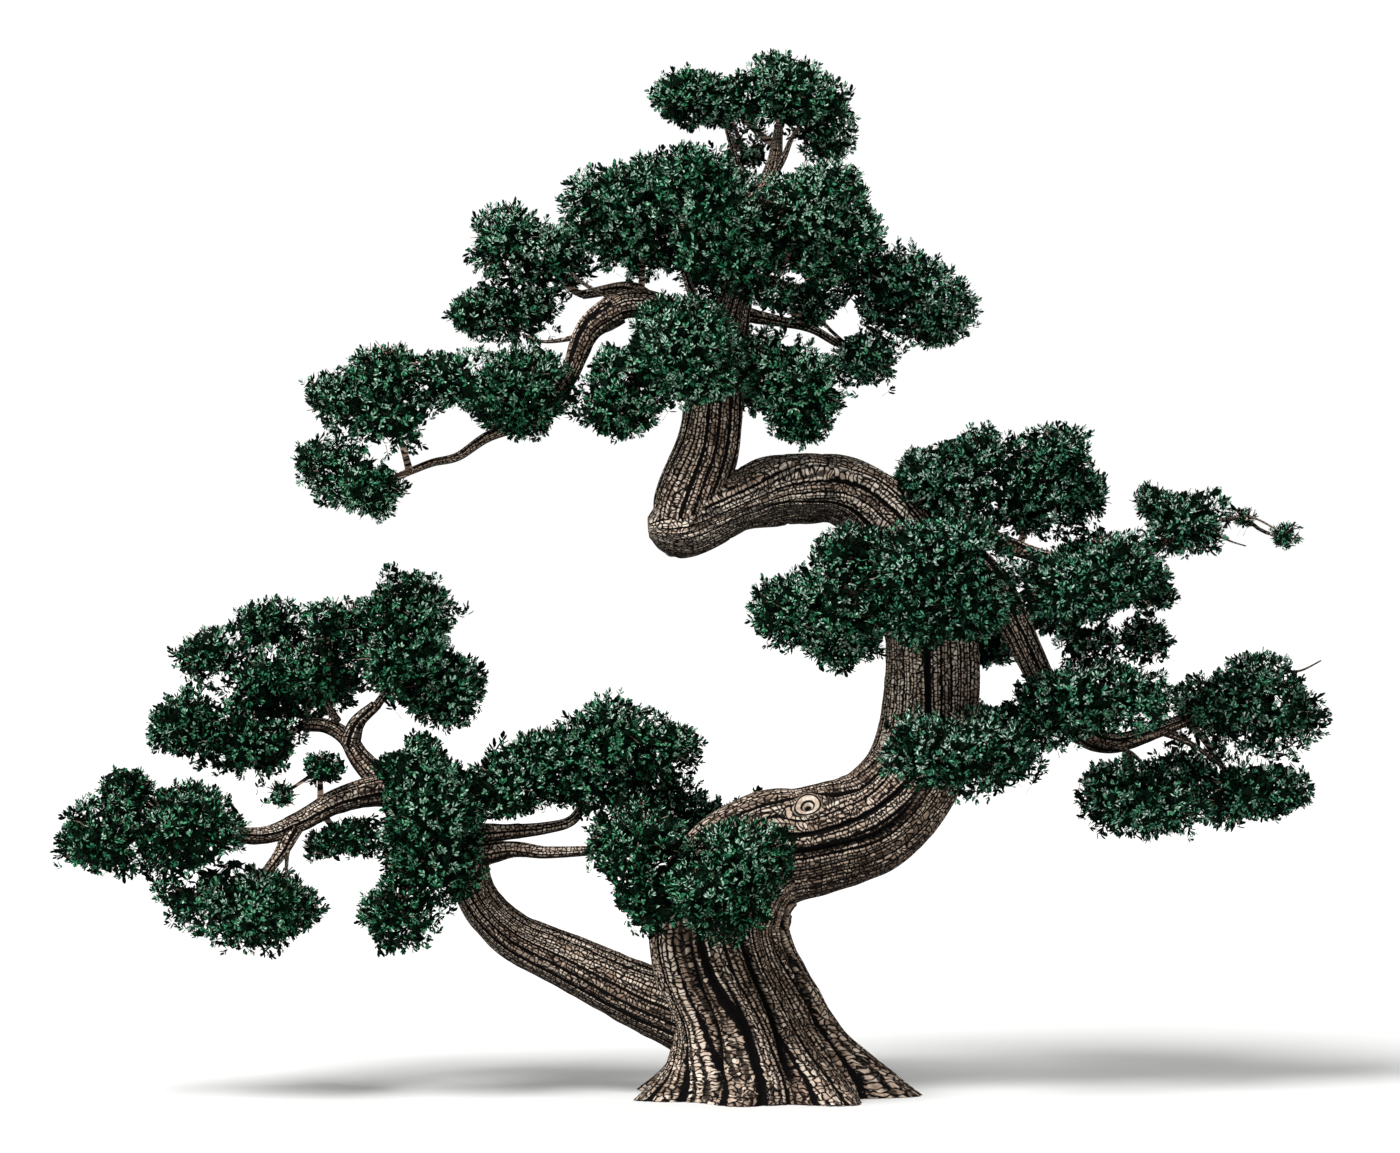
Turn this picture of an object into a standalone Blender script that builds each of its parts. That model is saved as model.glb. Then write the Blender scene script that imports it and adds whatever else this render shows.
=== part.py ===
"""An old cedar with a winding trunk, modelled as its real pieces: the trunk, the main boughs, and the
masses of foliage that they carry. Each piece is one closed solid.

Metres, +Z up, the front towards -Y, and the origin on the flat cut at ground level.
Run it with:  blender --background --python part.py
"""

import math
import random
import zlib

import bmesh
import bpy
from mathutils import Vector
from mathutils.bvhtree import BVHTree

# ---------------------------------------------------------------- driving dimensions

GAP = 0.0003  # clear space between two pieces that meet

TRUNK_SIDES = 16
UPPER_SIDES = 11  # above the elbow
TRUNK_STEP = 0.27  # length of trunk between two rings of points
TRUNK_DEPTH = 0.88  # the trunk is a little thinner from front to back than it is wide
TRUNK_SWING = 0.10  # how far back it swings for each metre that it goes to the right
RIBS = 5  # broad ribs that run up the trunk
RIB_HEIGHT = 0.06  # share of the radius
RIB_TWIST = 6.0  # radians from the ground to the end of the limb
ROOTS = 7
ROOT_SPREAD = 0.13  # share of the radius, at the ground
FLARE_HEIGHT = 0.55  # the roots die out this far above the ground
LEVEL_HEIGHT = 1.80  # below this the trunk's rings turn from square to its lean to level at the ground

SHARP_ANGLE = math.radians(50)  # a limb is shaded smooth across any flatter edge
BOUGH_SIDES = 7
BOUGH_STEP = 0.26
BOUGH_TAPER = 1.5  # above 1, a bough loses most of its width near its foot
BOUGH_SWELL = 0.05  # share of the radius

CLUMP_DEPTH = 1.25  # a clump's size from front to back, against its half width
CLUMP_HEIGHT = 0.85
CLUMP_SHIFT = 0.25  # the clumps of a mass lie this much in front of or behind its middle
CORE_SHARE = 0.85  # the dense core of a clump against the clump's full size
CORE_LUMPS = 0.09
CORE_POINTS = 16
SMALL_CORE_POINTS = 12
SMALL_CLUMP = 0.30  # a clump under this half width has the smaller core
DRAW_IN = 0.9  # a core's point that is too near to a limb is drawn in by this share at a time
DRAW_IN_ROUNDS = 40
LEAST_SHARE = 0.05  # a neighbour's space never draws a point in further than this
SPRAY_ROOT = 0.68  # where a spray is rooted, as a share of the clump's size
SPRAY_TIP = 1.12  # where it ends
SPRAY_TIP_RANGE = (0.94, 1.04)  # the shortest and the longest of them, against that
SPRAY_JITTER = 0.25  # how far a spray strays from the even spacing
SPRAY_TWIST = 0.9  # radians that a spray's blade turns about its length, either way
SPRAY_OUTLINE = [(0.0, 0.0), (0.72, 0.36), (0.70, 0.12), (1.0, 0.0), (0.60, -0.34)]
SPRAY_THICK = 0.08  # half the thickness of a spray's middle, as a share of its length
SPRAY_AREA = 0.36  # square metres of a clump's skin for each spray
STEM_RISE = 0.30  # a stem leaves its limb about this far below the clump that it carries
STEM_RADIUS = 0.042
BARE_TAPER = 0.4
STEM_STEPS = 12  # places along a stem where it is tested against the other masses
STEM_FREE = 3  # the first few lie inside its own limb, so they aren't tested
TWIG_RADIUS = 0.024
TWIG_TIP_RADIUS = 0.017
NEIGHBOUR = 1.6  # clumps further apart than this many times their sizes never meet
SPACE_MARGIN = 0.004  # foliage stays this far inside the space of its own mass
LIMB_MARGIN = 0.012  # and this far from a limb
SAME_POINT = 1e-6  # points nearer than this are made one after a Boolean

BARK = ("cedar_bark", (0.27, 0.19, 0.145, 1.0), 0.92)
NEEDLES = ("cedar_needles", (0.035, 0.135, 0.082, 1.0), 0.62)

# ---------------------------------------------------------------- the limbs

# The trunk's centre line as x, z and the radius there. The trunk leans left, swings right, climbs,
# and doubles back to an elbow on the left. Its upper part rises from that elbow to the tip.
TRUNK_TO_ELBOW = [
    (0.04, 0.00, 1.00),
    (0.02, 0.16, 0.87),
    (-0.05, 0.36, 0.72),
    (-0.14, 0.62, 0.61),
    (-0.33, 1.05, 0.555),
    (-0.38, 1.40, 0.54),
    (-0.22, 1.76, 0.51),
    (0.05, 1.96, 0.46),
    (0.38, 2.03, 0.42),
    (0.84, 2.18, 0.405),
    (1.14, 2.47, 0.38),
    (1.29, 2.82, 0.372),
    (1.355, 3.35, 0.365),
    (1.31, 3.98, 0.345),
    (1.15, 4.32, 0.345),
    (0.93, 4.62, 0.32),
    (0.64, 4.825, 0.285),
    (0.20, 4.875, 0.265),
    (-0.20, 4.755, 0.238),
    (-0.60, 4.58, 0.27),
    (-0.82, 4.55, 0.20),
    (-0.93, 4.54, 0.08),
]
TRUNK_ABOVE_ELBOW = [
    (-0.72, 4.38, 0.12),
    (-0.67, 4.62, 0.235),
    (-0.575, 4.87, 0.265),
    (-0.455, 5.20, 0.25),
    (-0.39, 5.70, 0.22),
    (-0.32, 6.05, 0.18),
    (-0.22, 6.42, 0.125),
    (-0.09, 7.04, 0.09),
    (0.06, 7.40, 0.065),
    (0.11, 7.74, 0.035),
]

# name: (the limbs that it grows from, its depth y at the foot and at the tip, its radius at the foot
# and at the tip, its centre line as x, z)
BOUGHS = {
    "low_left_bough": (
        ["trunk"],
        (0.00, 0.06),
        (0.315, 0.125),
        [
            (-0.45, 0.62),
            (-0.95, 0.77),
            (-1.60, 1.08),
            (-2.03, 1.29),
            (-2.31, 1.60),
            (-2.40, 2.02),
            (-2.62, 2.33),
            (-2.90, 2.46),
        ],
    ),
    "left_arm": (
        ["low_left_bough"],
        (0.06, -0.42),
        (0.148, 0.066),
        [(-2.76, 2.40), (-3.05, 2.44), (-3.40, 2.36), (-3.70, 2.20), (-3.95, 2.10), (-4.20, 2.10)],
    ),
    "upper_left_arm": (
        ["low_left_bough", "left_arm"],
        (0.08, 0.42),
        (0.125, 0.055),
        [(-2.90, 2.42), (-3.09, 2.53), (-3.25, 2.68), (-3.37, 2.85), (-3.53, 2.94), (-3.72, 2.95)],
    ),
    "upper_left_fork": (
        ["upper_left_arm"],
        (0.26, 0.18),
        (0.072, 0.045),
        [(-3.34, 2.80), (-3.28, 2.97), (-3.13, 3.11)],
    ),
    "hanging_arm": (
        ["left_arm"],
        (-0.26, -0.42),
        (0.068, 0.042),
        [(-3.74, 2.18), (-3.83, 1.98), (-3.95, 1.81)],
    ),
    "lower_link": (
        ["low_left_bough"],
        (0.02, -0.28),
        (0.085, 0.04),
        [(-2.34, 1.90), (-2.02, 1.97), (-1.75, 1.95), (-1.38, 1.97)],
    ),
    "upper_link": (
        ["low_left_bough", "lower_link"],
        (0.03, 0.18),
        (0.08, 0.04),
        [(-2.40, 2.08), (-2.06, 2.10), (-1.76, 2.13), (-1.55, 2.19), (-1.43, 2.36)],
    ),
    "right_bough": (
        ["trunk"],
        (0.02, -0.05),
        (0.19, 0.105),
        [(1.20, 4.10), (1.55, 4.26), (1.80, 4.10), (1.98, 3.80), (2.26, 3.22), (2.42, 3.04)],
    ),
    "right_bough_end": (
        ["right_bough"],
        (-0.05, 0.36),
        (0.118, 0.055),
        [(2.34, 3.12), (2.55, 2.89), (2.78, 2.81), (3.05, 2.87), (3.42, 3.00)],
    ),
    "right_middle_bough": (
        ["trunk", "right_bough"],
        (0.08, -0.26),
        (0.11, 0.035),
        [(1.05, 4.48), (1.72, 4.46), (2.20, 4.31), (2.60, 4.24), (3.00, 4.31), (3.20, 4.45)],
    ),
    "left_crown_bough": (
        ["trunk"],
        (-0.04, -0.10),
        (0.17, 0.11),
        [(-0.40, 5.80), (-0.62, 6.10), (-0.86, 6.29), (-1.10, 6.32), (-1.30, 6.23)],
    ),
    "left_crown_arm": (
        ["left_crown_bough"],
        (-0.09, -0.38),
        (0.11, 0.03),
        [
            (-1.20, 6.28),
            (-1.42, 6.10),
            (-1.58, 5.72),
            (-1.82, 5.42),
            (-2.20, 5.26),
            (-2.44, 5.10),
            (-2.64, 5.05),
            (-2.82, 4.98),
        ],
    ),
    "left_crown_spur": (
        ["left_crown_bough"],
        (-0.05, 0.30),
        (0.065, 0.038),
        [(-0.90, 6.34), (-1.10, 6.46), (-1.46, 6.42)],
    ),
    "crown_right_bough": (
        ["trunk"],
        (0.00, 0.30),
        (0.055, 0.032),
        [(-0.18, 6.55), (0.08, 6.50), (0.28, 6.46), (0.72, 6.56)],
    ),
    "crown_low_right_bough": (
        ["trunk"],
        (0.00, 0.12),
        (0.06, 0.032),
        [(-0.26, 6.26), (0.08, 6.20), (0.36, 6.14), (0.58, 6.02)],
    ),
}

# ---------------------------------------------------------------- the masses of foliage

# name: (the limb that carries it, the depth y of its middle, its clumps as x, z and half width)
# The stem runs from the limb to the first clump, and twigs run on from there to the others.
MASSES = {
    # on the low left bough and its arms
    "high_left_pad": ("upper_left_arm", 0.36, [(-4.12, 2.83, 0.43), (-4.62, 2.95, 0.38)]),
    "left_tier": (
        "upper_left_arm",
        0.58,
        [(-3.64, 3.34, 0.45), (-4.06, 3.30, 0.36), (-4.06, 3.72, 0.32), (-4.52, 3.52, 0.30)],
    ),
    "left_top": (
        "upper_left_fork",
        0.06,
        [(-2.94, 3.50, 0.46), (-2.84, 3.90, 0.38), (-2.58, 3.24, 0.40), (-3.42, 3.78, 0.28)],
    ),
    "far_left_pad": ("left_arm", -0.44, [(-4.58, 2.14, 0.50), (-5.24, 2.08, 0.38), (-5.06, 2.46, 0.24)]),
    "low_left_pad": ("hanging_arm", -0.50, [(-4.08, 1.55, 0.45), (-4.54, 1.64, 0.28), (-3.78, 1.55, 0.30)]),
    "tuft_above_arm": ("left_arm", -0.22, [(-3.54, 2.62, 0.21), (-3.84, 2.42, 0.17)]),
    "tuft_below_arm": ("left_arm", -0.06, [(-3.30, 2.08, 0.24), (-3.54, 2.02, 0.18)]),
    "left_middle": (
        "low_left_bough",
        -0.46,
        [(-2.66, 2.30, 0.45), (-2.78, 2.66, 0.34), (-2.64, 1.88, 0.44), (-2.94, 1.49, 0.35)],
    ),
    "left_middle_back": ("low_left_bough", 0.66, [(-2.62, 2.36, 0.44), (-2.72, 1.92, 0.36)]),
    "inner_left_pad": (
        "upper_link",
        0.12,
        [
            (-1.42, 2.56, 0.40),
            (-1.24, 2.89, 0.38),
            (-0.80, 2.80, 0.32),
            (-1.76, 2.68, 0.38),
            (-2.08, 2.46, 0.35),
        ],
    ),
    # round the lower trunk
    "trunk_left_mass": ("lower_link", -0.44, [(-1.02, 2.04, 0.44), (-0.98, 1.62, 0.36)]),
    "trunk_front_mass": ("trunk", -0.88, [(-0.20, 1.96, 0.42), (-0.38, 1.66, 0.42)]),
    "trunk_back_mass": ("trunk", 0.86, [(-0.44, 2.02, 0.46), (-0.90, 2.32, 0.39), (0.04, 2.12, 0.34)]),
    # on the right, half way up
    "middle_left_pad": (
        "trunk",
        -0.30,
        [(0.60, 3.90, 0.44), (0.18, 3.90, 0.36), (0.66, 3.63, 0.29), (0.68, 4.34, 0.32)],
    ),
    "middle_front": (
        "trunk",
        -0.84,
        [(1.14, 4.20, 0.46), (1.56, 4.38, 0.40), (1.56, 3.94, 0.44), (1.14, 3.82, 0.32)],
    ),
    "middle_back": ("trunk", 0.90, [(1.25, 4.26, 0.50), (1.68, 3.90, 0.40), (1.84, 3.58, 0.30)]),
    "middle_top": ("trunk", 0.10, [(1.44, 4.80, 0.42), (1.26, 4.98, 0.29), (1.73, 5.10, 0.34)]),
    "middle_top_right": (
        "right_middle_bough",
        0.24,
        [(2.12, 4.78, 0.42), (2.32, 5.12, 0.36), (2.52, 4.80, 0.33)],
    ),
    "right_middle_front": (
        "right_middle_bough",
        -0.48,
        [(2.74, 4.20, 0.42), (2.36, 4.06, 0.40), (3.06, 4.06, 0.24)],
    ),
    "right_middle_back": ("right_middle_bough", 0.56, [(2.66, 4.18, 0.44), (2.30, 3.94, 0.36)]),
    "right_small_tufts": ("right_bough", -0.12, [(2.54, 3.64, 0.28), (3.02, 3.66, 0.22)]),
    "right_tip_tuft": (
        "right_middle_bough",
        -0.26,
        [(3.34, 4.58, 0.37), (3.06, 4.76, 0.20), (3.82, 4.62, 0.12), (4.12, 4.47, 0.15)],
    ),
    "right_long_pad": ("right_bough", -0.44, [(2.50, 3.19, 0.43), (2.92, 3.20, 0.33), (2.14, 3.06, 0.36)]),
    "right_trunk_front_pad": (
        "trunk",
        -0.78,
        [(1.60, 2.80, 0.42), (1.20, 2.76, 0.34), (1.88, 2.76, 0.29)],
    ),
    "right_trunk_back_pad": ("trunk", 0.88, [(1.62, 2.85, 0.43), (1.90, 2.76, 0.32)]),
    "far_right_pad": ("right_bough_end", 0.40, [(3.64, 3.08, 0.38), (3.96, 3.29, 0.33), (4.16, 3.03, 0.38)]),
    "right_low_pad": ("right_bough_end", -0.12, [(3.14, 2.34, 0.39), (2.80, 2.44, 0.36)]),
    "right_low_far_pad": (
        "right_bough_end",
        0.44,
        [(3.82, 2.43, 0.41), (4.20, 2.42, 0.21), (3.42, 2.58, 0.26)],
    ),
    # the crown
    "top_left": ("trunk", 0.10, [(-0.28, 7.94, 0.31), (-0.64, 8.00, 0.32), (-0.12, 7.56, 0.20)]),
    "top_right": ("trunk", -0.04, [(0.14, 8.06, 0.36), (0.44, 7.88, 0.29), (0.50, 7.62, 0.23)]),
    "crown_left": (
        "left_crown_bough",
        -0.08,
        [(-1.00, 6.88, 0.44), (-1.24, 7.10, 0.40), (-0.90, 7.26, 0.38)],
    ),
    "crown_front": ("trunk", -0.58, [(-0.42, 7.04, 0.44), (-0.54, 7.34, 0.33), (-0.28, 6.72, 0.38)]),
    "crown_back": ("trunk", 0.62, [(-0.26, 7.08, 0.46), (0.22, 6.90, 0.38), (-0.42, 6.68, 0.34)]),
    "crown_right": (
        "trunk",
        -0.34,
        [
            (0.32, 7.04, 0.40),
            (0.50, 7.25, 0.30),
            (0.64, 6.84, 0.36),
            (0.06, 6.42, 0.20),
            (0.40, 6.60, 0.24),
        ],
    ),
    "far_crown_right": ("crown_right_bough", 0.30, [(1.02, 6.48, 0.43), (1.38, 6.27, 0.38)]),
    "crown_low_right": ("crown_low_right_bough", 0.10, [(0.82, 5.90, 0.31), (0.36, 6.32, 0.24)]),
    "crown_low_front": ("trunk", -0.68, [(-0.64, 6.04, 0.46), (-0.46, 5.74, 0.36)]),
    "crown_low_back": ("trunk", 0.68, [(-0.50, 6.02, 0.46), (-0.24, 5.74, 0.38)]),
    "crown_under_left": ("trunk", -0.20, [(-1.02, 5.84, 0.34), (-1.15, 5.54, 0.41)]),
    "crown_under_right": ("trunk", -0.20, [(0.10, 5.84, 0.36), (0.30, 5.62, 0.41), (0.32, 5.36, 0.25)]),
    "left_crown_pad": (
        "left_crown_spur",
        0.30,
        [(-1.68, 6.70, 0.33), (-2.04, 6.84, 0.38), (-1.98, 6.32, 0.36), (-2.36, 6.24, 0.27)],
    ),
    "hanging_pad": (
        "left_crown_arm",
        -0.42,
        [(-1.90, 5.70, 0.40), (-2.22, 5.64, 0.35), (-1.96, 5.46, 0.33)],
    ),
    "hanging_tip_low": ("left_crown_arm", -0.38, [(-3.18, 4.87, 0.37), (-3.50, 5.08, 0.21)]),
    "hanging_tip": (
        "left_crown_arm",
        -0.36,
        [(-2.98, 5.42, 0.37), (-2.98, 5.77, 0.35), (-2.54, 5.74, 0.28), (-3.40, 5.58, 0.31)],
    ),
}

# Bare twigs that stand out of a mass, as start, end and the radius at the start.
BARE_TWIGS = {
    "far_right_pad": ((4.08, 0.40, 3.36), (4.52, 0.40, 3.46), 0.02),
    "right_tip_tuft": ((3.44, -0.26, 4.46), (3.84, -0.26, 4.39), 0.016),
}

# ---------------------------------------------------------------- meshes and Booleans


def clear_scene():
    for obj in list(bpy.data.objects):
        bpy.data.objects.remove(obj, do_unlink=True)


def material(name, colour, roughness):
    made = bpy.data.materials.new(name)
    made.use_nodes = True
    shader = made.node_tree.nodes["Principled BSDF"]
    shader.inputs["Base Color"].default_value = colour
    shader.inputs["Roughness"].default_value = roughness
    shader.inputs["Metallic"].default_value = 0.0
    made.diffuse_color = colour
    return made


def solid(name, points, faces, paint):
    """An object with its faces pointing out. It isn't linked to the scene yet."""
    shape = bmesh.new()
    verts = [shape.verts.new(p) for p in points]
    for face in faces:
        shape.faces.new([verts[i] for i in face])
    bmesh.ops.recalc_face_normals(shape, faces=shape.faces)
    mesh = bpy.data.meshes.new(name)
    shape.to_mesh(mesh)
    shape.free()
    mesh.materials.append(paint)
    return bpy.data.objects.new(name, mesh)


def link(obj):
    bpy.context.scene.collection.objects.link(obj)


def remove(obj):
    mesh = obj.data
    bpy.data.objects.remove(obj, do_unlink=True)
    bpy.data.meshes.remove(mesh)


def boolean(obj, operation, other=None, group=None, solver="EXACT"):
    """Applies one Boolean with another object, or with a whole collection of them."""
    change = obj.modifiers.new(operation.lower(), "BOOLEAN")
    change.operation = operation
    change.solver = solver
    if group:
        change.operand_type = "COLLECTION"
        change.collection = group
    else:
        change.object = other
    bpy.context.view_layer.update()
    graph = bpy.context.evaluated_depsgraph_get()
    made = bpy.data.meshes.new_from_object(obj.evaluated_get(graph))
    old = obj.data
    obj.modifiers.clear()
    obj.data = made
    bpy.data.meshes.remove(old)


def is_closed(mesh):
    shape = bmesh.new()
    shape.from_mesh(mesh)
    closed = bool(shape.faces) and all(len(edge.link_faces) == 2 for edge in shape.edges)
    shape.free()
    return closed


def bodies_of(shape):
    """The mesh's separate bodies, each a list of faces, from the smallest to the largest."""
    left = set(shape.faces)
    bodies = []
    while left:
        seed = left.pop()
        body = [seed]
        queue = [seed]
        while queue:
            for edge in queue.pop().edges:
                for face in edge.link_faces:
                    if face in left:
                        left.remove(face)
                        body.append(face)
                        queue.append(face)
        bodies.append(body)
    return sorted(bodies, key=lambda body: sum(face.calc_area() for face in body))


def drop_scraps(obj):
    """Keeps only the largest body of what a Boolean leaves."""
    shape = bmesh.new()
    shape.from_mesh(obj.data)
    bmesh.ops.remove_doubles(shape, verts=shape.verts, dist=SAME_POINT)
    for body in bodies_of(shape)[:-1]:
        bmesh.ops.delete(shape, geom=body, context="FACES")
    shape.to_mesh(obj.data)
    shape.free()


def cut_clear(obj, limb):
    """Cuts the object so that it meets the limb one gap away from the limb's skin."""
    cutter = bpy.data.objects.new(f"{limb.name}_cutter", limb.data.copy())
    shape = bmesh.new()
    shape.from_mesh(cutter.data)
    shape.normal_update()
    grown = [vert.co + vert.normal * GAP * vert.calc_shell_factor() for vert in shape.verts]
    for vert, place in zip(shape.verts, grown):
        vert.co = place
    shape.to_mesh(cutter.data)
    shape.free()
    link(cutter)
    boolean(obj, "DIFFERENCE", cutter)
    remove(cutter)
    drop_scraps(obj)


def tree_of(obj):
    """The object's faces, sorted for quick tests of what touches them."""
    shape = bmesh.new()
    shape.from_mesh(obj.data)
    tree = BVHTree.FromBMesh(shape)
    shape.free()
    return tree


# ---------------------------------------------------------------- limbs


def curve_through(knots, step):
    """Points about one step apart on a smooth curve through the knots, as vectors of x, y, z, radius."""
    knots = [2 * knots[0] - knots[1], *knots, 2 * knots[-1] - knots[-2]]
    points = []
    for before, start, end, after in zip(knots, knots[1:], knots[2:], knots[3:]):
        count = max(1, round((end - start).to_3d().length / step))
        for i in range(count):
            t = i / count
            bend = 2 * before - 5 * start + 4 * end - after
            turn = 3 * start - before - 3 * end + after
            points.append(start + ((end - before) * t + bend * t**2 + turn * t**3) / 2)
    points.append(knots[-2])
    return points


def trunk_route(stations, step):
    return curve_through([Vector((x, TRUNK_SWING * x, z, r)) for x, z, r in stations], step)


def bough_route(name, step):
    """A bough's centre line. Its depth and its radius run from foot to tip with its length."""
    _parents, depths, radii, places = BOUGHS[name]
    lengths = [0.0]
    for (x0, z0), (x1, z1) in zip(places, places[1:]):
        lengths.append(lengths[-1] + math.hypot(x1 - x0, z1 - z0))
    knots = []
    for (x, z), length in zip(places, lengths):
        share = length / lengths[-1]
        depth = depths[0] + (depths[1] - depths[0]) * share
        radius = radii[1] + (radii[0] - radii[1]) * (1 - share) ** BOUGH_TAPER
        knots.append(Vector((x, depth, z, radius)))
    return curve_through(knots, step)


def trunk_section(share, height, angle):
    """Ribs that twist up the trunk, and roots that spread between hollows at its foot."""
    rib = 1 + RIB_HEIGHT * math.cos(RIBS * angle + RIB_TWIST * share)
    near_ground = max(0.0, 1 - height / FLARE_HEIGHT) ** 1.5
    width = rib * (1 + ROOT_SPREAD * near_ground * math.cos(ROOTS * angle + 0.4))
    return width, width * TRUNK_DEPTH


def bough_section(share, height, angle):
    swell = 1 + BOUGH_SWELL * math.sin(9.0 * share + 2 * angle)
    return swell, swell


def tube(name, points, sides, section, paint, level_height=0.0):
    """A closed tube round a centre line. section(share, height, angle) scales its two half widths."""
    middles = [p.to_3d() for p in points]
    last = len(points) - 1
    across = Vector((0, 1, 0))
    rings = []
    for i, point in enumerate(points):
        along = (middles[min(i + 1, last)] - middles[max(i - 1, 0)]).normalized()
        if point.z < level_height:
            along = along.lerp(Vector((0, 0, 1)), 1 - point.z / level_height).normalized()
        across = (across - along * across.dot(along)).normalized()
        side = across.cross(along)
        for k in range(sides):
            angle = 2 * math.pi * k / sides
            wide, deep = section(i / last, point.z, angle)
            offset = side * math.cos(angle) * wide + across * math.sin(angle) * deep
            rings.append(middles[i] + offset * point.w)
    faces = [tuple(range(sides)), tuple(range(sides * last, sides * last + sides))]
    for low in range(0, sides * last, sides):
        for k in range(sides):
            after = (k + 1) % sides
            faces.append((low + k, low + after, low + sides + k))
            faces.append((low + after, low + sides + after, low + sides + k))
    return solid(name, rings, faces, paint)


def make_trunk(paint):
    below = trunk_route(TRUNK_TO_ELBOW, TRUNK_STEP)
    above = trunk_route(TRUNK_ABOVE_ELBOW, TRUNK_STEP)
    trunk = tube("trunk", below, TRUNK_SIDES, trunk_section, paint, LEVEL_HEIGHT)
    upper = tube("upper", above, UPPER_SIDES, trunk_section, paint)
    link(trunk)
    link(upper)
    boolean(trunk, "UNION", upper)
    remove(upper)
    return trunk


def make_bough(name, limbs, paint):
    bough = tube(name, bough_route(name, BOUGH_STEP), BOUGH_SIDES, bough_section, paint)
    link(bough)
    for parent in BOUGHS[name][0]:
        cut_clear(bough, limbs[parent])
    return bough


# ---------------------------------------------------------------- clumps and the space of each mass


class Clump:
    """An egg-shaped part of a mass: its middle and its three half sizes."""

    def __init__(self, x, y, z, half_width):
        self.middle = Vector((x, y, z))
        self.half = Vector((half_width, half_width * CLUMP_DEPTH, half_width * CLUMP_HEIGHT))

    def at(self, direction, share):
        return self.middle + direction * self.half * share

    def reach(self, normal):
        """How far it reaches from its middle towards this direction."""
        return (self.half * normal).length

    def holds(self, point, share):
        off = point - self.middle
        return sum((off[i] / (self.half[i] * share)) ** 2 for i in range(3)) < 1


def clumps_of(name):
    """A mass's clumps, by turns a little in front of and behind its middle."""
    _limb, depth, places = MASSES[name]
    clumps = []
    for i, (x, z, half_width) in enumerate(places):
        shift = CLUMP_SHIFT * half_width * (0, -1, 1)[i % 3]
        clumps.append(Clump(x, depth + shift, z, half_width))
    return clumps


def dividing_plane(clump, other):
    """The plane between two clumps that leaves the widest gap, as its normal and its offset."""
    apart = other.middle - clump.middle
    both = clump.half + other.half
    scaled = Vector(apart[i] / both[i] ** 2 for i in range(3)).normalized()
    tries = [apart.normalized(), scaled, (apart.normalized() + scaled).normalized()]
    tries += [Vector((1, 0, 0)), Vector((0, 1, 0)), Vector((0, 0, 1))]
    best_gap = -math.inf
    for normal in tries:
        if normal.dot(apart) < 0:
            normal = -normal
        near = clump.reach(normal)
        far = other.reach(normal)
        gap = apart.dot(normal) - near - far
        if gap > best_gap:
            best_gap = gap
            offset = normal.dot(clump.middle) + apart.dot(normal) * near / (near + far)
            best = (normal, offset)
    return best


def spaces_of(masses):
    """The planes that each clump of each mass stays behind, so that no two masses meet."""
    spaces = {name: [[] for _ in clumps] for name, clumps in masses.items()}
    names = list(masses)
    for i, name in enumerate(names):
        for other_name in names[i + 1 :]:
            for a, clump in enumerate(masses[name]):
                for b, other in enumerate(masses[other_name]):
                    far = NEIGHBOUR * (max(clump.half) + max(other.half))
                    if (other.middle - clump.middle).length < far:
                        normal, offset = dividing_plane(clump, other)
                        spaces[name][a].append((normal, offset - SPACE_MARGIN))
                        spaces[other_name][b].append((-normal, -offset - SPACE_MARGIN))
    return spaces


def inside(point, planes):
    return all(normal.dot(point) < offset for normal, offset in planes)


def pulled_inside(point, middle, planes):
    """The point, or the last place on the way to it from the middle that is inside every plane."""
    share = 1.0
    for normal, offset in planes:
        run = normal.dot(point - middle)
        if run > 0:
            share = min(share, max(LEAST_SHARE, (offset - normal.dot(middle)) / run))
    return middle + (point - middle) * share


# ---------------------------------------------------------------- foliage


def even_directions(count, turn):
    """Directions spread evenly over a sphere."""
    golden = math.pi * (3 - math.sqrt(5))
    for i in range(count):
        z = 1 - (2 * i + 1) / count
        flat = math.sqrt(1 - z * z)
        angle = golden * i + turn
        yield Vector((flat * math.cos(angle), flat * math.sin(angle), z))


def too_near(place, trees):
    return any(tree.find_nearest(place, LIMB_MARGIN)[0] is not None for tree in trees)


def core_of(name, clump, planes, trees, rule, paint):
    """The lumpy dense core of a clump, drawn in where it would meet a limb or another mass."""
    count = SMALL_CORE_POINTS if clump.half.x < SMALL_CLUMP else CORE_POINTS
    directions = list(even_directions(count, rule.uniform(0, 6)))
    shape = bmesh.new()
    for direction in directions:
        shape.verts.new(direction)
    bmesh.ops.convex_hull(shape, input=shape.verts)
    for vert, direction in zip(shape.verts, directions):
        share = CORE_SHARE * (1 + rule.uniform(-CORE_LUMPS, CORE_LUMPS))
        vert.co = pulled_inside(clump.at(direction, share), clump.middle, planes)
    for _round in range(DRAW_IN_ROUNDS):
        own = BVHTree.FromBMesh(shape)
        shape.faces.ensure_lookup_table()
        touching = {vert for vert in shape.verts if too_near(vert.co, trees)}
        for tree in trees:
            for face, _other in own.overlap(tree):
                touching |= set(shape.faces[face].verts)
        for vert in touching:
            vert.co = clump.middle + (vert.co - clump.middle) * DRAW_IN
        if not touching:
            break
    faces = [[vert.index for vert in face.verts] for face in shape.faces]
    core = solid(name, [vert.co.copy() for vert in shape.verts], faces, paint)
    shape.free()
    return core


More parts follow.
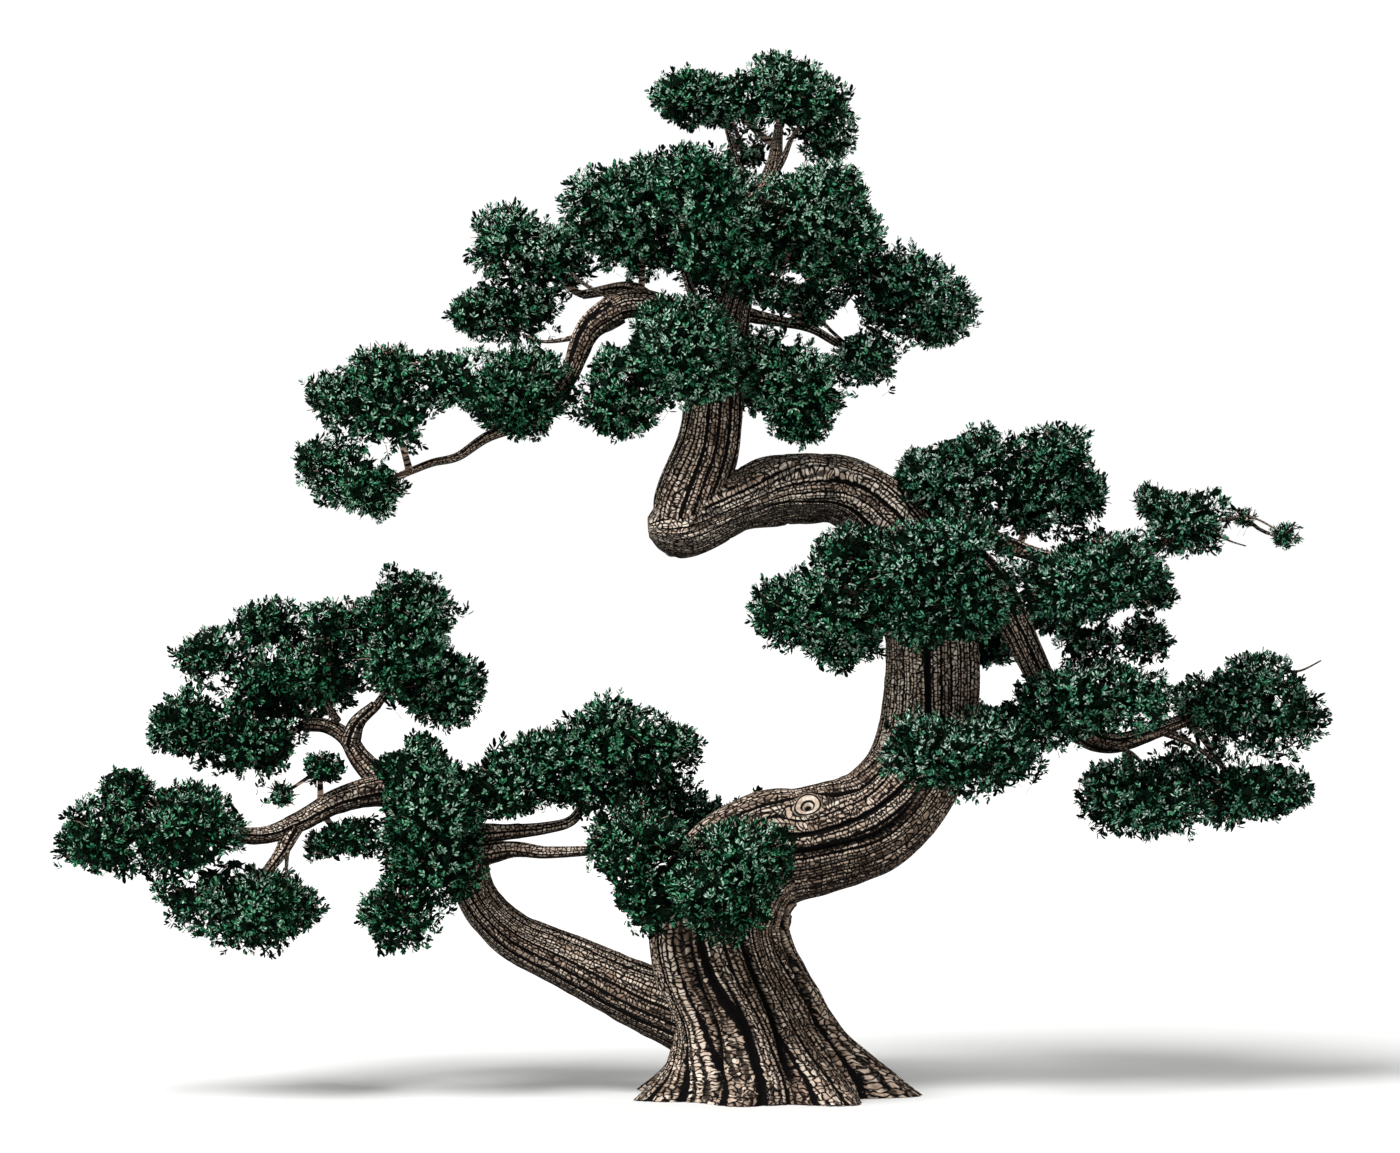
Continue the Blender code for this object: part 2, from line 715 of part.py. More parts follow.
def twig_of(name, start, end, radius, end_radius, paint):
    """A three-sided tapering twig."""
    along = (end - start).normalized()
    across = along.cross(Vector((0.3, 0.9, 0.2))).normalized()
    side = along.cross(across)
    points = []
    for middle, r in ((start, radius), (end, end_radius)):
        for k in range(3):
            angle = 2 * math.pi * k / 3
            points.append(middle + (across * math.cos(angle) + side * math.sin(angle)) * r)
    faces = [(0, 1, 2), (3, 4, 5), (0, 1, 4, 3), (1, 2, 5, 4), (2, 0, 3, 5)]
    return solid(name, points, faces, paint)


def spray_of(name, root, tip, twist, paint):
    """A toothed blade of needles, thickest along its middle."""
    along = (tip - root).normalized()
    level = Vector((1, 0, 0)) if abs(along.z) > 0.9 else Vector((0, 0, 1))
    across = along.cross(level).normalized()
    up = across.cross(along)
    wide = across * math.cos(twist) + up * math.sin(twist)
    thick = wide.cross(along)
    length = (tip - root).length
    points = [root + (along * u + wide * v) * length for u, v in SPRAY_OUTLINE]
    points += [root + (along * 0.5 + thick * side) * length for side in (SPRAY_THICK, -SPRAY_THICK)]
    top = len(SPRAY_OUTLINE)
    faces = []
    for k in range(top):
        after = (k + 1) % top
        faces.append((k, after, top))
        faces.append((k, after, top + 1))
    return solid(name, points, faces, paint)


def touches(obj, trees):
    """Whether the object meets a limb or has a point too near to one."""
    own = tree_of(obj)
    return any(own.overlap(tree) for tree in trees) or any(
        too_near(vert.co, trees) for vert in obj.data.vertices
    )


def sprays_of(name, clumps, spaces, trees, rule, paint):
    """Sprays that stand out of each clump. One that would leave its space or touch a limb is skipped."""
    sprays = []
    for clump, planes in zip(clumps, spaces):
        others = [other for other in clumps if other is not clump]
        skin = 4 * math.pi * clump.half.x * clump.half.z
        for direction in even_directions(max(4, round(skin / SPRAY_AREA)), rule.uniform(0, 6)):
            jitter = Vector(rule.uniform(-SPRAY_JITTER, SPRAY_JITTER) for _axis in range(3))
            direction = (direction + jitter).normalized()
            root = clump.at(direction, SPRAY_ROOT)
            tip = clump.at(direction, SPRAY_TIP * rule.uniform(*SPRAY_TIP_RANGE))
            twist = rule.uniform(-SPRAY_TWIST, SPRAY_TWIST)
            if any(other.holds(tip, 1.0) for other in others):
                continue
            spray = spray_of(f"{name}_spray", root, tip, twist, paint)
            if all(inside(vert.co, planes) for vert in spray.data.vertices) and not touches(spray, trees):
                sprays.append(spray)
            else:
                remove(spray)
    return sprays


def stem_route(limb):
    """The places on a limb's centre line where a stem may leave it."""
    step = BOUGH_STEP / 4
    if limb == "trunk":
        return trunk_route(TRUNK_TO_ELBOW[2:-1], step) + trunk_route(TRUNK_ABOVE_ELBOW[2:], step)
    route = bough_route(limb, step)
    return route[len(route) // 5 :]


def meets_core(start, end, clumps, spaces):
    """Whether the outer part of a line from a limb passes through the core of one of these clumps."""
    places = [start.lerp(end, i / STEM_STEPS) for i in range(STEM_FREE, STEM_STEPS + 1)]
    return any(
        clump.holds(place, CORE_SHARE) and inside(place, planes)
        for clump, planes in zip(clumps, spaces)
        for place in places
    )


def clear_stem(name, masses, spaces, limbs, stems, paint):
    """The shortest stem that meets no other limb, stem or mass, cut clear of its own limb."""
    limb = MASSES[name][0]
    middle = masses[name][0].middle
    rivals = [clump for mass in masses if mass != name for clump in masses[mass]]
    rival_spaces = [planes for mass in masses if mass != name for planes in spaces[mass]]
    others = [tree_of(obj) for other, obj in limbs.items() if other != limb]
    others += [tree_of(stem) for stem in stems]
    target = middle - Vector((0, 0, STEM_RISE))
    for foot in sorted((p.to_3d() for p in stem_route(limb)), key=lambda p: (p - target).length):
        stem = twig_of(f"{name}_stem", foot, middle, STEM_RADIUS, TWIG_RADIUS, paint)
        if not touches(stem, others) and not meets_core(foot, middle, rivals, rival_spaces):
            break
        remove(stem)
    else:
        raise ValueError(f"{name} has no clear way to its limb")
    link(stem)
    cut_clear(stem, limbs[limb])
    bpy.context.scene.collection.objects.unlink(stem)
    return stem


def twigs_between(name, clumps, trees, paint):
    """A twig to each later clump from the nearest clump before it, where no limb is in the way."""
    twigs = []
    for i, clump in enumerate(clumps[1:], 1):
        for before in sorted(clumps[:i], key=lambda other: (other.middle - clump.middle).length):
            radii = (TWIG_RADIUS, TWIG_TIP_RADIUS)
            twig = twig_of(f"{name}_twig", before.middle, clump.middle, *radii, paint)
            if not touches(twig, trees):
                twigs.append(twig)
                break
            remove(twig)
    return twigs


def make_mass(name, masses, spaces, stem, trees, paint):
    """One stem, twigs that run on from clump to clump, a core for each clump, and the sprays."""
    rule = random.Random(zlib.crc32(name.encode()))
    clumps = masses[name]
    cores = [core_of(name, clump, planes, trees, rule, paint) for clump, planes in zip(clumps, spaces[name])]
    pieces = [stem, *cores[1:]]
    pieces += twigs_between(name, clumps, trees, paint)
    if name in BARE_TWIGS:
        start, end, radius = BARE_TWIGS[name]
        tip_radius = radius * BARE_TAPER
        pieces.append(twig_of(f"{name}_bare", Vector(start), Vector(end), radius, tip_radius, paint))
    pieces += sprays_of(name, clumps, spaces[name], trees, rule, paint)
    return fused(cores[0], pieces)


def fused(core, pieces):
    """Joins the pieces to the core by one Boolean union on a collection, and leaves one closed body."""
    group = bpy.data.collections.new(f"{core.name}_pieces")
    for piece in pieces:
        group.objects.link(piece)
    link(core)
    plain = core.data.copy()
    boolean(core, "UNION", group=group)
    if not is_closed(core.data):
        core.data = plain
        boolean(core, "UNION", group=group, solver="MANIFOLD")
    drop_scraps(core)
    for piece in pieces:
        remove(piece)
    bpy.data.collections.remove(group)
    return core


# ---------------------------------------------------------------- the tree


def main():
    clear_scene()
    bark = material(*BARK)
    needles = material(*NEEDLES)
    limbs = {"trunk": make_trunk(bark)}
    for name in BOUGHS:
        limbs[name] = make_bough(name, limbs, bark)
    for limb in limbs.values():
        limb.data.shade_smooth()
        limb.data.set_sharp_from_angle(angle=SHARP_ANGLE)
    trees = [tree_of(limb) for limb in limbs.values()]
    masses = {name: clumps_of(name) for name in MASSES}
    spaces = spaces_of(masses)
    stems = {}
    for name in masses:
        stems[name] = clear_stem(name, masses, spaces, limbs, stems.values(), needles)
    for name, stem in stems.items():
        make_mass(name, masses, spaces, stem, trees, needles)


main()
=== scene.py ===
# %% [markdown]
# # An old cedar with a winding trunk
#
# This lesson dresses the plain solids of an old cedar. The solids give the size and the place of the
# trunk, the boughs and the masses of foliage. Here each of them gets what the real tree shows: furrowed
# bark on the limbs, and thousands of small sprays of leaves on fine twigs in place of the plain masses.
#
# The first cell loads the solids as a fixed frame. Nothing in it is ever moved. What follows is built
# round it, in metres, with the ground at z = 0 and the front of the tree towards -Y.

# %% The frame
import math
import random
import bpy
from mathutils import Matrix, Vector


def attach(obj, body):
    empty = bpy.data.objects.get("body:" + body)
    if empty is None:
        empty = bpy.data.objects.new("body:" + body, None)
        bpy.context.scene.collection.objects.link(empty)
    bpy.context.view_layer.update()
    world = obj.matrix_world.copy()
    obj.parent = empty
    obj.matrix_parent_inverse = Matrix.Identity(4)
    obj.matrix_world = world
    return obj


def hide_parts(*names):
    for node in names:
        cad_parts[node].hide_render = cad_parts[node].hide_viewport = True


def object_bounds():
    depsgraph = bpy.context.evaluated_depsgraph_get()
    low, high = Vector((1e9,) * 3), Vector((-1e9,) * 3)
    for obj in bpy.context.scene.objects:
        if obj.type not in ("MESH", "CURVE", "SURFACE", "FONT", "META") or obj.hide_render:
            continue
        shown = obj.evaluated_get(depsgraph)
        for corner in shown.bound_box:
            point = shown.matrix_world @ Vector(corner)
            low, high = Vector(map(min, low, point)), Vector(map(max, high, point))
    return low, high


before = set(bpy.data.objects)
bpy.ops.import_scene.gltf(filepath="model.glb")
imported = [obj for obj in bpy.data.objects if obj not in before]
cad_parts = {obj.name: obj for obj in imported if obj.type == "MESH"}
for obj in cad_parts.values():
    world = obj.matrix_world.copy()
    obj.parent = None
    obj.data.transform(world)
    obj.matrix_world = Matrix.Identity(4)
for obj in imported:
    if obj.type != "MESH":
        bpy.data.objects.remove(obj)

# %% [markdown]
# The bounds of the solids are kept. The sprays stand only a little in front of them and behind them.

# %% Tools, and the size of the solids
import zlib

import bpy
import numpy as np
from mathutils import Vector

solid_box = [list(corner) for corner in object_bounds()]
scene = bpy.context.scene
print("solids from", np.round(solid_box[0], 2), "to", np.round(solid_box[1], 2))

# %% [markdown]
# ## The eye
#
# A tree is best seen from far away with a long lens, because a short lens near by swells the boughs that
# reach forwards. The eye stands 40 m in front at half the height of the tree and looks level, so upright
# lines stay upright. The lens follows from how wide a piece of the world should fill the picture.

# %% The camera
EYE = np.array((-0.52, -40.0, 4.148))
SEEN_WIDTH = 11.2  # metres across the picture, at the tree
SENSOR_WIDTH = 36.0  # millimetres
VIEW_END = 500.0  # metres, beyond the far edge of the floor

eye_data = bpy.data.cameras.new("eye")
eye_data.sensor_width = SENSOR_WIDTH
eye_data.lens = SENSOR_WIDTH * -EYE[1] / SEEN_WIDTH
eye_data.clip_end = VIEW_END
eye = bpy.data.objects.new("eye", eye_data)
eye.location = EYE
eye.rotation_euler = (math.pi / 2, 0, 0)
scene.collection.objects.link(eye)
scene.camera = eye
print("lens", round(eye_data.lens, 1), "mm")

# %% [markdown]
# ## Floor and light
#
# The tree stands in a white studio. The floor is one wide pale disc, and the sky behind the tree is a
# white backdrop. Everywhere else the sky is dimmer, so that hollows stay dark. A sun with a wide disc
# takes the place of one big soft lamp high on the left in front. It reaches the whole floor evenly, and
# it makes the pads of foliage turn from light above to dark below. The picture keeps its colours as they
# are (the Standard view), because the soft roll-off of the default would make the near-black hollows of
# the foliage grey.

# %% Floor, sky and sun
FLOOR_RADIUS = 250.0
FLOOR_SIDES = 96
FLOOR_ROUGHNESS = 0.9
FLOOR_COLOUR = (0.90, 0.90, 0.89)
SKY_FILL = 0.47  # how bright the sky is in front and at the sides
BACKDROP = 1.02  # how bright it is behind the tree
BACKDROP_EDGE = (0.80, 0.95)  # how far the view has to point to the back for the backdrop to begin
SUN_FROM = (-0.55, -0.62, 1.0)
SUN_STRENGTH = 3.5
SUN_WIDTH = math.radians(28)

scene.view_settings.view_transform = "Standard"
world = bpy.data.worlds.new("studio_sky")
world.use_nodes = True
sky_nodes = world.node_tree.nodes
sky_links = world.node_tree.links
sky = sky_nodes["Background"]
ways = sky_nodes.new("ShaderNodeTexCoord")
parts = sky_nodes.new("ShaderNodeSeparateXYZ")
strength = sky_nodes.new("ShaderNodeMapRange")
strength.interpolation_type = "SMOOTHSTEP"
for key, value in zip(("From Min", "From Max", "To Min", "To Max"), (*BACKDROP_EDGE, SKY_FILL, BACKDROP)):
    strength.inputs[key].default_value = value
sky_links.new(ways.outputs["Generated"], parts.inputs[0])
sky_links.new(parts.outputs["Y"], strength.inputs["Value"])
sky_links.new(strength.outputs[0], sky.inputs["Strength"])
sky.inputs["Color"].default_value = (1.0, 1.0, 1.0, 1.0)
scene.world = world

bpy.ops.mesh.primitive_circle_add(vertices=FLOOR_SIDES, radius=FLOOR_RADIUS, fill_type="NGON")
floor = bpy.context.object
floor.name = "floor"
floor_paint = bpy.data.materials.new("pale_floor")
floor_paint.use_nodes = True
floor_shader = floor_paint.node_tree.nodes["Principled BSDF"]
floor_shader.inputs["Base Color"].default_value = (*FLOOR_COLOUR, 1.0)
floor_shader.inputs["Roughness"].default_value = FLOOR_ROUGHNESS
floor.data.materials.append(floor_paint)

sun_data = bpy.data.lights.new("sun", "SUN")
sun_data.energy = SUN_STRENGTH
sun_data.angle = SUN_WIDTH
sun = bpy.data.objects.new("sun", sun_data)
sun.rotation_euler = Vector(SUN_FROM).to_track_quat("Z", "Y").to_euler()
scene.collection.objects.link(sun)
print("sun from", SUN_FROM)

# %% [markdown]
# ## Where the limbs run
#
# A limb is easiest to describe by a line down its middle with a radius at each point. A smooth curve
# through a few such points does the rest. These are the same lines that the solids were made from. The
# trunk leans left, swings right, climbs, and doubles back to an elbow, from which its upper part rises.

# %% The trunk's line: x, z and radius
TRUNK_TO_ELBOW = [
    (0.04, 0.00, 1.00),
    (0.02, 0.16, 0.87),
    (-0.05, 0.36, 0.72),
    (-0.14, 0.62, 0.61),
    (-0.33, 1.05, 0.555),
    (-0.38, 1.40, 0.54),
    (-0.22, 1.76, 0.51),
    (0.05, 1.96, 0.46),
    (0.38, 2.03, 0.42),
    (0.84, 2.18, 0.405),
    (1.14, 2.47, 0.38),
    (1.29, 2.82, 0.372),
    (1.355, 3.35, 0.365),
    (1.31, 3.98, 0.345),
    (1.15, 4.32, 0.345),
    (0.93, 4.62, 0.32),
    (0.64, 4.825, 0.285),
    (0.20, 4.875, 0.265),
    (-0.20, 4.755, 0.238),
    (-0.60, 4.58, 0.27),
    (-0.82, 4.55, 0.20),
    (-0.93, 4.54, 0.08),
]
TRUNK_ABOVE_ELBOW = [
    (-0.72, 4.38, 0.12),
    (-0.67, 4.62, 0.235),
    (-0.575, 4.87, 0.265),
    (-0.455, 5.20, 0.25),
    (-0.39, 5.70, 0.22),
    (-0.32, 6.05, 0.18),
    (-0.22, 6.42, 0.125),
    (-0.09, 7.04, 0.09),
    (0.06, 7.40, 0.065),
    (0.11, 7.74, 0.035),
]

# %% [markdown]
# The boughs follow in the same way. Each has its depth and its radius at the foot and at the tip, and
# the points that it passes through. A few thin dead or half-hidden branches have no solid of their own.
# They are too slender to matter for weight or touch, but an old tree looks bare without them.

# %% The boughs: depth (foot, tip), radius (foot, tip), points as x, z
BOUGHS = {
    "low_left_bough": (
        (0.00, 0.06),
        (0.315, 0.125),
        [
            (-0.45, 0.62),
            (-0.95, 0.77),
            (-1.60, 1.08),
            (-2.03, 1.29),
            (-2.31, 1.60),
            (-2.40, 2.02),
            (-2.62, 2.33),
            (-2.90, 2.46),
        ],
    ),
    "left_arm": (
        (0.06, -0.42),
        (0.148, 0.066),
        [(-2.76, 2.40), (-3.05, 2.44), (-3.40, 2.36), (-3.70, 2.20), (-3.95, 2.10), (-4.20, 2.10)],
    ),
    "upper_left_arm": (
        (0.08, 0.42),
        (0.125, 0.055),
        [(-2.90, 2.42), (-3.09, 2.53), (-3.25, 2.68), (-3.37, 2.85), (-3.53, 2.94), (-3.72, 2.95)],
    ),
    "upper_left_fork": (
        (0.26, 0.18),
        (0.072, 0.045),
        [(-3.34, 2.80), (-3.28, 2.97), (-3.13, 3.11)],
    ),
    "hanging_arm": (
        (-0.26, -0.42),
        (0.068, 0.042),
        [(-3.74, 2.18), (-3.83, 1.98), (-3.95, 1.81)],
    ),
    "lower_link": (
        (0.02, -0.28),
        (0.085, 0.04),
        [(-2.34, 1.90), (-2.02, 1.97), (-1.75, 1.95), (-1.38, 1.97)],
    ),
    "upper_link": (
        (0.03, 0.18),
        (0.08, 0.04),
        [(-2.40, 2.08), (-2.06, 2.10), (-1.76, 2.13), (-1.55, 2.19), (-1.43, 2.36)],
    ),
    "right_bough": (
        (0.02, -0.05),
        (0.19, 0.105),
        [(1.20, 4.10), (1.55, 4.26), (1.80, 4.10), (1.98, 3.80), (2.26, 3.22), (2.42, 3.04)],
    ),
    "right_bough_end": (
        (-0.05, 0.36),
        (0.118, 0.055),
        [(2.34, 3.12), (2.55, 2.89), (2.78, 2.81), (3.05, 2.87), (3.42, 3.00)],
    ),
    "right_middle_bough": (
        (0.08, -0.26),
        (0.11, 0.035),
        [(1.05, 4.48), (1.72, 4.46), (2.20, 4.31), (2.60, 4.24), (3.00, 4.31), (3.20, 4.45)],
    ),
    "left_crown_bough": (
        (-0.04, -0.10),
        (0.17, 0.11),
        [(-0.40, 5.80), (-0.62, 6.10), (-0.86, 6.29), (-1.10, 6.32), (-1.30, 6.23)],
    ),
    "left_crown_arm": (
        (-0.09, -0.38),
        (0.11, 0.03),
        [
            (-1.20, 6.28),
            (-1.42, 6.10),
            (-1.58, 5.72),
            (-1.82, 5.42),
            (-2.20, 5.26),
            (-2.44, 5.10),
            (-2.64, 5.05),
            (-2.82, 4.98),
        ],
    ),
    "left_crown_spur": (
        (-0.05, 0.30),
        (0.065, 0.038),
        [(-0.90, 6.34), (-1.10, 6.46), (-1.46, 6.42)],
    ),
    "crown_right_bough": (
        (0.00, 0.30),
        (0.055, 0.032),
        [(-0.18, 6.55), (0.08, 6.50), (0.28, 6.46), (0.72, 6.56)],
    ),
    "crown_low_right_bough": (
        (0.00, 0.12),
        (0.06, 0.032),
        [(-0.26, 6.26), (0.08, 6.20), (0.36, 6.14), (0.58, 6.02)],
    ),
}

# the same columns, for branches that have no solid
THIN_BRANCHES = {
    "thin_crown_left": (
        (-0.10, 0.12),
        (0.035, 0.012),
        [(-0.80, 6.27), (-1.22, 6.38), (-1.46, 6.50), (-1.62, 6.66)],
    ),
    "thin_under_crown": (
        (-0.14, -0.20),
        (0.026, 0.010),
        [(-1.40, 6.10), (-1.58, 6.04), (-1.78, 6.02), (-1.94, 6.08)],
    ),
    "thin_top_fork": (
        (0.00, 0.08),
        (0.045, 0.020),
        [(-0.12, 6.95), (-0.14, 7.22), (-0.24, 7.52), (-0.34, 7.86)],
    ),
    "thin_top_right": (
        (0.00, -0.10),
        (0.036, 0.014),
        [(0.02, 7.30), (0.14, 7.48), (0.22, 7.66), (0.34, 7.82)],
    ),
    "thin_crown_stub": (
        (-0.06, -0.16),
        (0.05, 0.022),
        [(-0.46, 6.16), (-0.58, 6.40), (-0.66, 6.62), (-0.74, 6.84)],
    ),
    "thin_middle_left": (
        (-0.10, -0.42),
        (0.040, 0.014),
        [(1.10, 4.24), (0.86, 4.10), (0.56, 3.98), (0.20, 3.92)],
    ),
    "thin_right_low": (
        (0.10, -0.10),
        (0.030, 0.012),
        [(2.62, 2.86), (2.92, 2.74), (3.06, 2.58), (3.12, 2.42)],
    ),
    "thin_right_far": (
        (0.30, 0.44),
        (0.028, 0.012),
        [(3.20, 2.90), (3.44, 2.80), (3.66, 2.64), (3.80, 2.50)],
    ),
    "thin_far_right_dead": (
        (0.40, 0.40),
        (0.022, 0.007),
        [(3.96, 3.30), (4.18, 3.37), (4.34, 3.39), (4.50, 3.47)],
    ),
    "thin_tuft_dead": (
        (-0.26, -0.26),
        (0.018, 0.006),
        [(3.40, 4.47), (3.58, 4.47), (3.72, 4.42), (3.82, 4.39)],
    ),
    "thin_tuft_twig": (
        (-0.26, -0.26),
        (0.018, 0.008),
        [(3.40, 4.52), (3.64, 4.60), (3.86, 4.62), (4.10, 4.50)],
    ),
    "thin_left_tier": (
        (0.30, 0.55),
        (0.030, 0.012),
        [(-3.44, 2.98), (-3.56, 3.16), (-3.70, 3.34), (-3.98, 3.46)],
    ),
    "thin_hanging_twig": (
        (-0.28, -0.36),
        (0.024, 0.012),
        [(-3.74, 2.16), (-3.79, 1.98), (-3.80, 1.84), (-3.79, 1.68)],
    ),
    "thin_left_top": (
        (0.16, 0.06),
        (0.030, 0.012),
        [(-3.12, 3.10), (-3.00, 3.28), (-2.86, 3.52), (-2.78, 3.80)],
    ),
}
print(len(BOUGHS), "boughs and", len(THIN_BRANCHES), "thin branches")

# %% [markdown]
# A Catmull-Rom curve passes through every point that it is given, with no handles to set. One helper
# makes the curve, two turn the rows of the tables into such points, and one carries a pair of directions
# along it without twisting, so that a bark furrow can run the whole length of a limb and stay on its side.

# %% Curves, and the directions along them
TRUNK_SWING = 0.10  # how far back the trunk swings for each metre that it goes to the right
BOUGH_TAPER = 1.5  # above 1, a bough loses most of its width near its foot
LEVEL_HEIGHT = 1.80  # below this the trunk's rings turn from square to its lean to level at the ground
RING_STEP = 0.014  # metres between the rings of the trunk


def smooth_curve(knots, step):
    """Rows of x, y, z, radius about one step apart, on a curve through the knots."""
    knots = np.array([2 * knots[0] - knots[1], *knots, 2 * knots[-1] - knots[-2]])
    rows = []
    for before, start, end, after in zip(knots, knots[1:], knots[2:], knots[3:]):
        count = max(1, round(np.linalg.norm((end - start)[:3]) / step))
        t = (np.arange(count) / count)[:, None]
        bend = 2 * before - 5 * start + 4 * end - after
        turn = 3 * start - before - 3 * end + after
        rows.append(start + ((end - before) * t + bend * t**2 + turn * t**3) / 2)
    rows.append(knots[-2][None])
    return np.concatenate(rows)


def trunk_curve(stations, step):
    """A part of the trunk's curve. Its depth follows from how far right it is."""
    return smooth_curve(np.array([(x, TRUNK_SWING * x, z, r) for x, z, r in stations]), step)


def run_along(points):
    """How far along their line each of the points lies."""
    steps = np.linalg.norm(np.diff(points, axis=0), axis=1)
    return np.concatenate([[0], np.cumsum(steps)])


def branch_curve(depths, radii, places, step):
    """A branch's curve. Its depth and its radius run from foot to tip with its length."""
    places = np.array(places)
    lengths = run_along(places)
    share = lengths / lengths[-1]
    depth = depths[0] + (depths[1] - depths[0]) * share
    radius = radii[1] + (radii[0] - radii[1]) * (1 - share) ** BOUGH_TAPER
    return smooth_curve(np.column_stack([places[:, 0], depth, places[:, 1], radius]), step)


def unit(vectors):
    return vectors / np.linalg.norm(vectors, axis=-1, keepdims=True)


def directions_along(curve, level_height=0.0):
    """For each ring the directions to its side and to its back, square to the curve."""
    middles = curve[:, :3]
    along = unit(np.gradient(middles, axis=0))
    sides = np.empty_like(middles)
    backs = np.empty_like(middles)
    back = np.array((0.0, 1.0, 0.0))
    for i, way in enumerate(along):
        if middles[i, 2] < level_height:
            share = middles[i, 2] / level_height
            way = unit(way * share + np.array((0.0, 0.0, 1.0)) * (1 - share))
        back = unit(back - way * back.dot(way))
        backs[i] = back
        sides[i] = np.cross(back, way)
    return sides, backs


print("trunk to the elbow:", len(trunk_curve(TRUNK_TO_ELBOW, RING_STEP)), "rings")

# %% [markdown]
# ## Old bark
#
# The bark of an old cedar runs in long strands like ropes, parted by black furrows. The strands are wide
# at the root flare and narrow where the limb narrows. Across each strand short cracks cut the bark into
# small blocks. A picture could be laid on for this, but real furrows catch the light and break the
# outline, so the strands are pressed into the mesh itself. The fine blocks are left to the material.
#
# Everything irregular comes from one source: a smooth random number for each place in space. The same
# place always gives the same number, so the tree comes out the same each time.

# %% Smooth random numbers
CELL_FACTORS = np.array((73856093, 19349663, 83492791))  # large primes keep neighbouring cells unlike
SEED_FACTOR = 982451653
MIX_FACTORS = (2246822519, 3266489917)


def hashed(cells, seed):
    """A number from 0 to 1 for each row of whole numbers."""
    mixed = (cells * CELL_FACTORS[: cells.shape[1]]).sum(axis=1) + seed * SEED_FACTOR
    mixed = (mixed ^ (mixed >> 15)) * MIX_FACTORS[0] & 0xFFFFFFFF
    mixed = (mixed ^ (mixed >> 13)) * MIX_FACTORS[1] & 0xFFFFFFFF
    return ((mixed ^ (mixed >> 16)) & 0xFFFF) / 0xFFFF


def noise(points, seed=0):
    """A number from -1 to 1 that changes smoothly over about one unit of space."""
    cells = np.floor(points).astype(np.int64)
    part = points - cells
    part = part * part * (3 - 2 * part)
    total = np.zeros(len(points))
    for corner in np.ndindex(2, 2, 2):
        weight = np.prod(np.where(corner, part, 1 - part), axis=1)
        total += weight * hashed(cells + np.array(corner), seed)
    return total * 2 - 1


def eased(low, high, value):
    """0 below low and 1 above high, with a soft change between them."""
    t = np.clip((value - low) / (high - low), 0, 1)
    return t * t * (3 - 2 * t)


three_places = np.array([(0.1, 0.2, 0.3), (4.0, 1.5, 2.0), (9.1, 3.3, 0.7)])
print("noise at three places", noise(three_places).round(3))

# %% [markdown]
# On a limb a point is given by its angle round the limb and its length along it. The strand that a point
# is on follows from the angle: the whole part of its "turn" counts the strands, and the rest says how far
# across the strand it lies. Noise bends the borders between strands, so that they wander, close up and
# open again. The furrows keep their width, and each has a depth of its own.

# %% Strands and furrows
SMALL_STRANDS = 3.0  # small strands on each large one
SLOW_WANDER = ((1.1, 1.1, 0.55), 0.55)  # the scale of the noise round and along the limb, and its strength
QUICK_WANDER = ((2.6, 2.6, 1.6), 0.22)
LEAST_DEEP = 0.30  # the depth of the shallowest furrow, where the deepest has 1
DEEP_CHANGE = ((1.5, 1.5, 0.9), 0.25)  # how the depth of a furrow changes on its way
DEEP_LIMITS = (0.2, 1)
SMALL_DEEP = 0.18  # the depth of the furrows between the small strands
FURROW_SHARPNESS = 4  # the higher this power, the narrower the furrows


def on_limb(angle, length):
    """Places for noise that goes round the limb and along it with no seam."""
    return np.column_stack([np.cos(angle), np.sin(angle), length])


def near_border(turn):
    """0 in the middle of a strand and 1 at its borders."""
    return np.abs(2 * (turn - np.floor(turn)) - 1)


def furrows(angle, length, strands, seed, wander):
    """For each point: how far down in a furrow it lies, its turn, and how deep the nearest furrow is."""
    around = on_limb(angle, length)
    slow = noise(around * SLOW_WANDER[0], seed)
    quick = noise(around * QUICK_WANDER[0], seed + 1)
    turn = strands * angle / (2 * np.pi) + wander * (SLOW_WANDER[1] * slow + QUICK_WANDER[1] * quick)
    border = np.round(turn).astype(np.int64) % strands
    chance = hashed(np.column_stack([border, border * 0, border * 0]), seed + 2)
    deep = LEAST_DEEP + (1 - LEAST_DEEP) * chance
    change = DEEP_CHANGE[1] * noise(around * DEEP_CHANGE[0], seed + 5)
    deep = np.clip(deep + change, *DEEP_LIMITS)
    large = deep * near_border(turn) ** FURROW_SHARPNESS
    small = SMALL_DEEP * near_border(turn * SMALL_STRANDS) ** FURROW_SHARPNESS
    return large + small, turn, deep


down, turn, deep = furrows(np.linspace(0, 6, 500), np.zeros(500), 13, 5, 1.0)
print("strands from", round(float(turn.min()), 1), "to", round(float(turn.max()), 1))
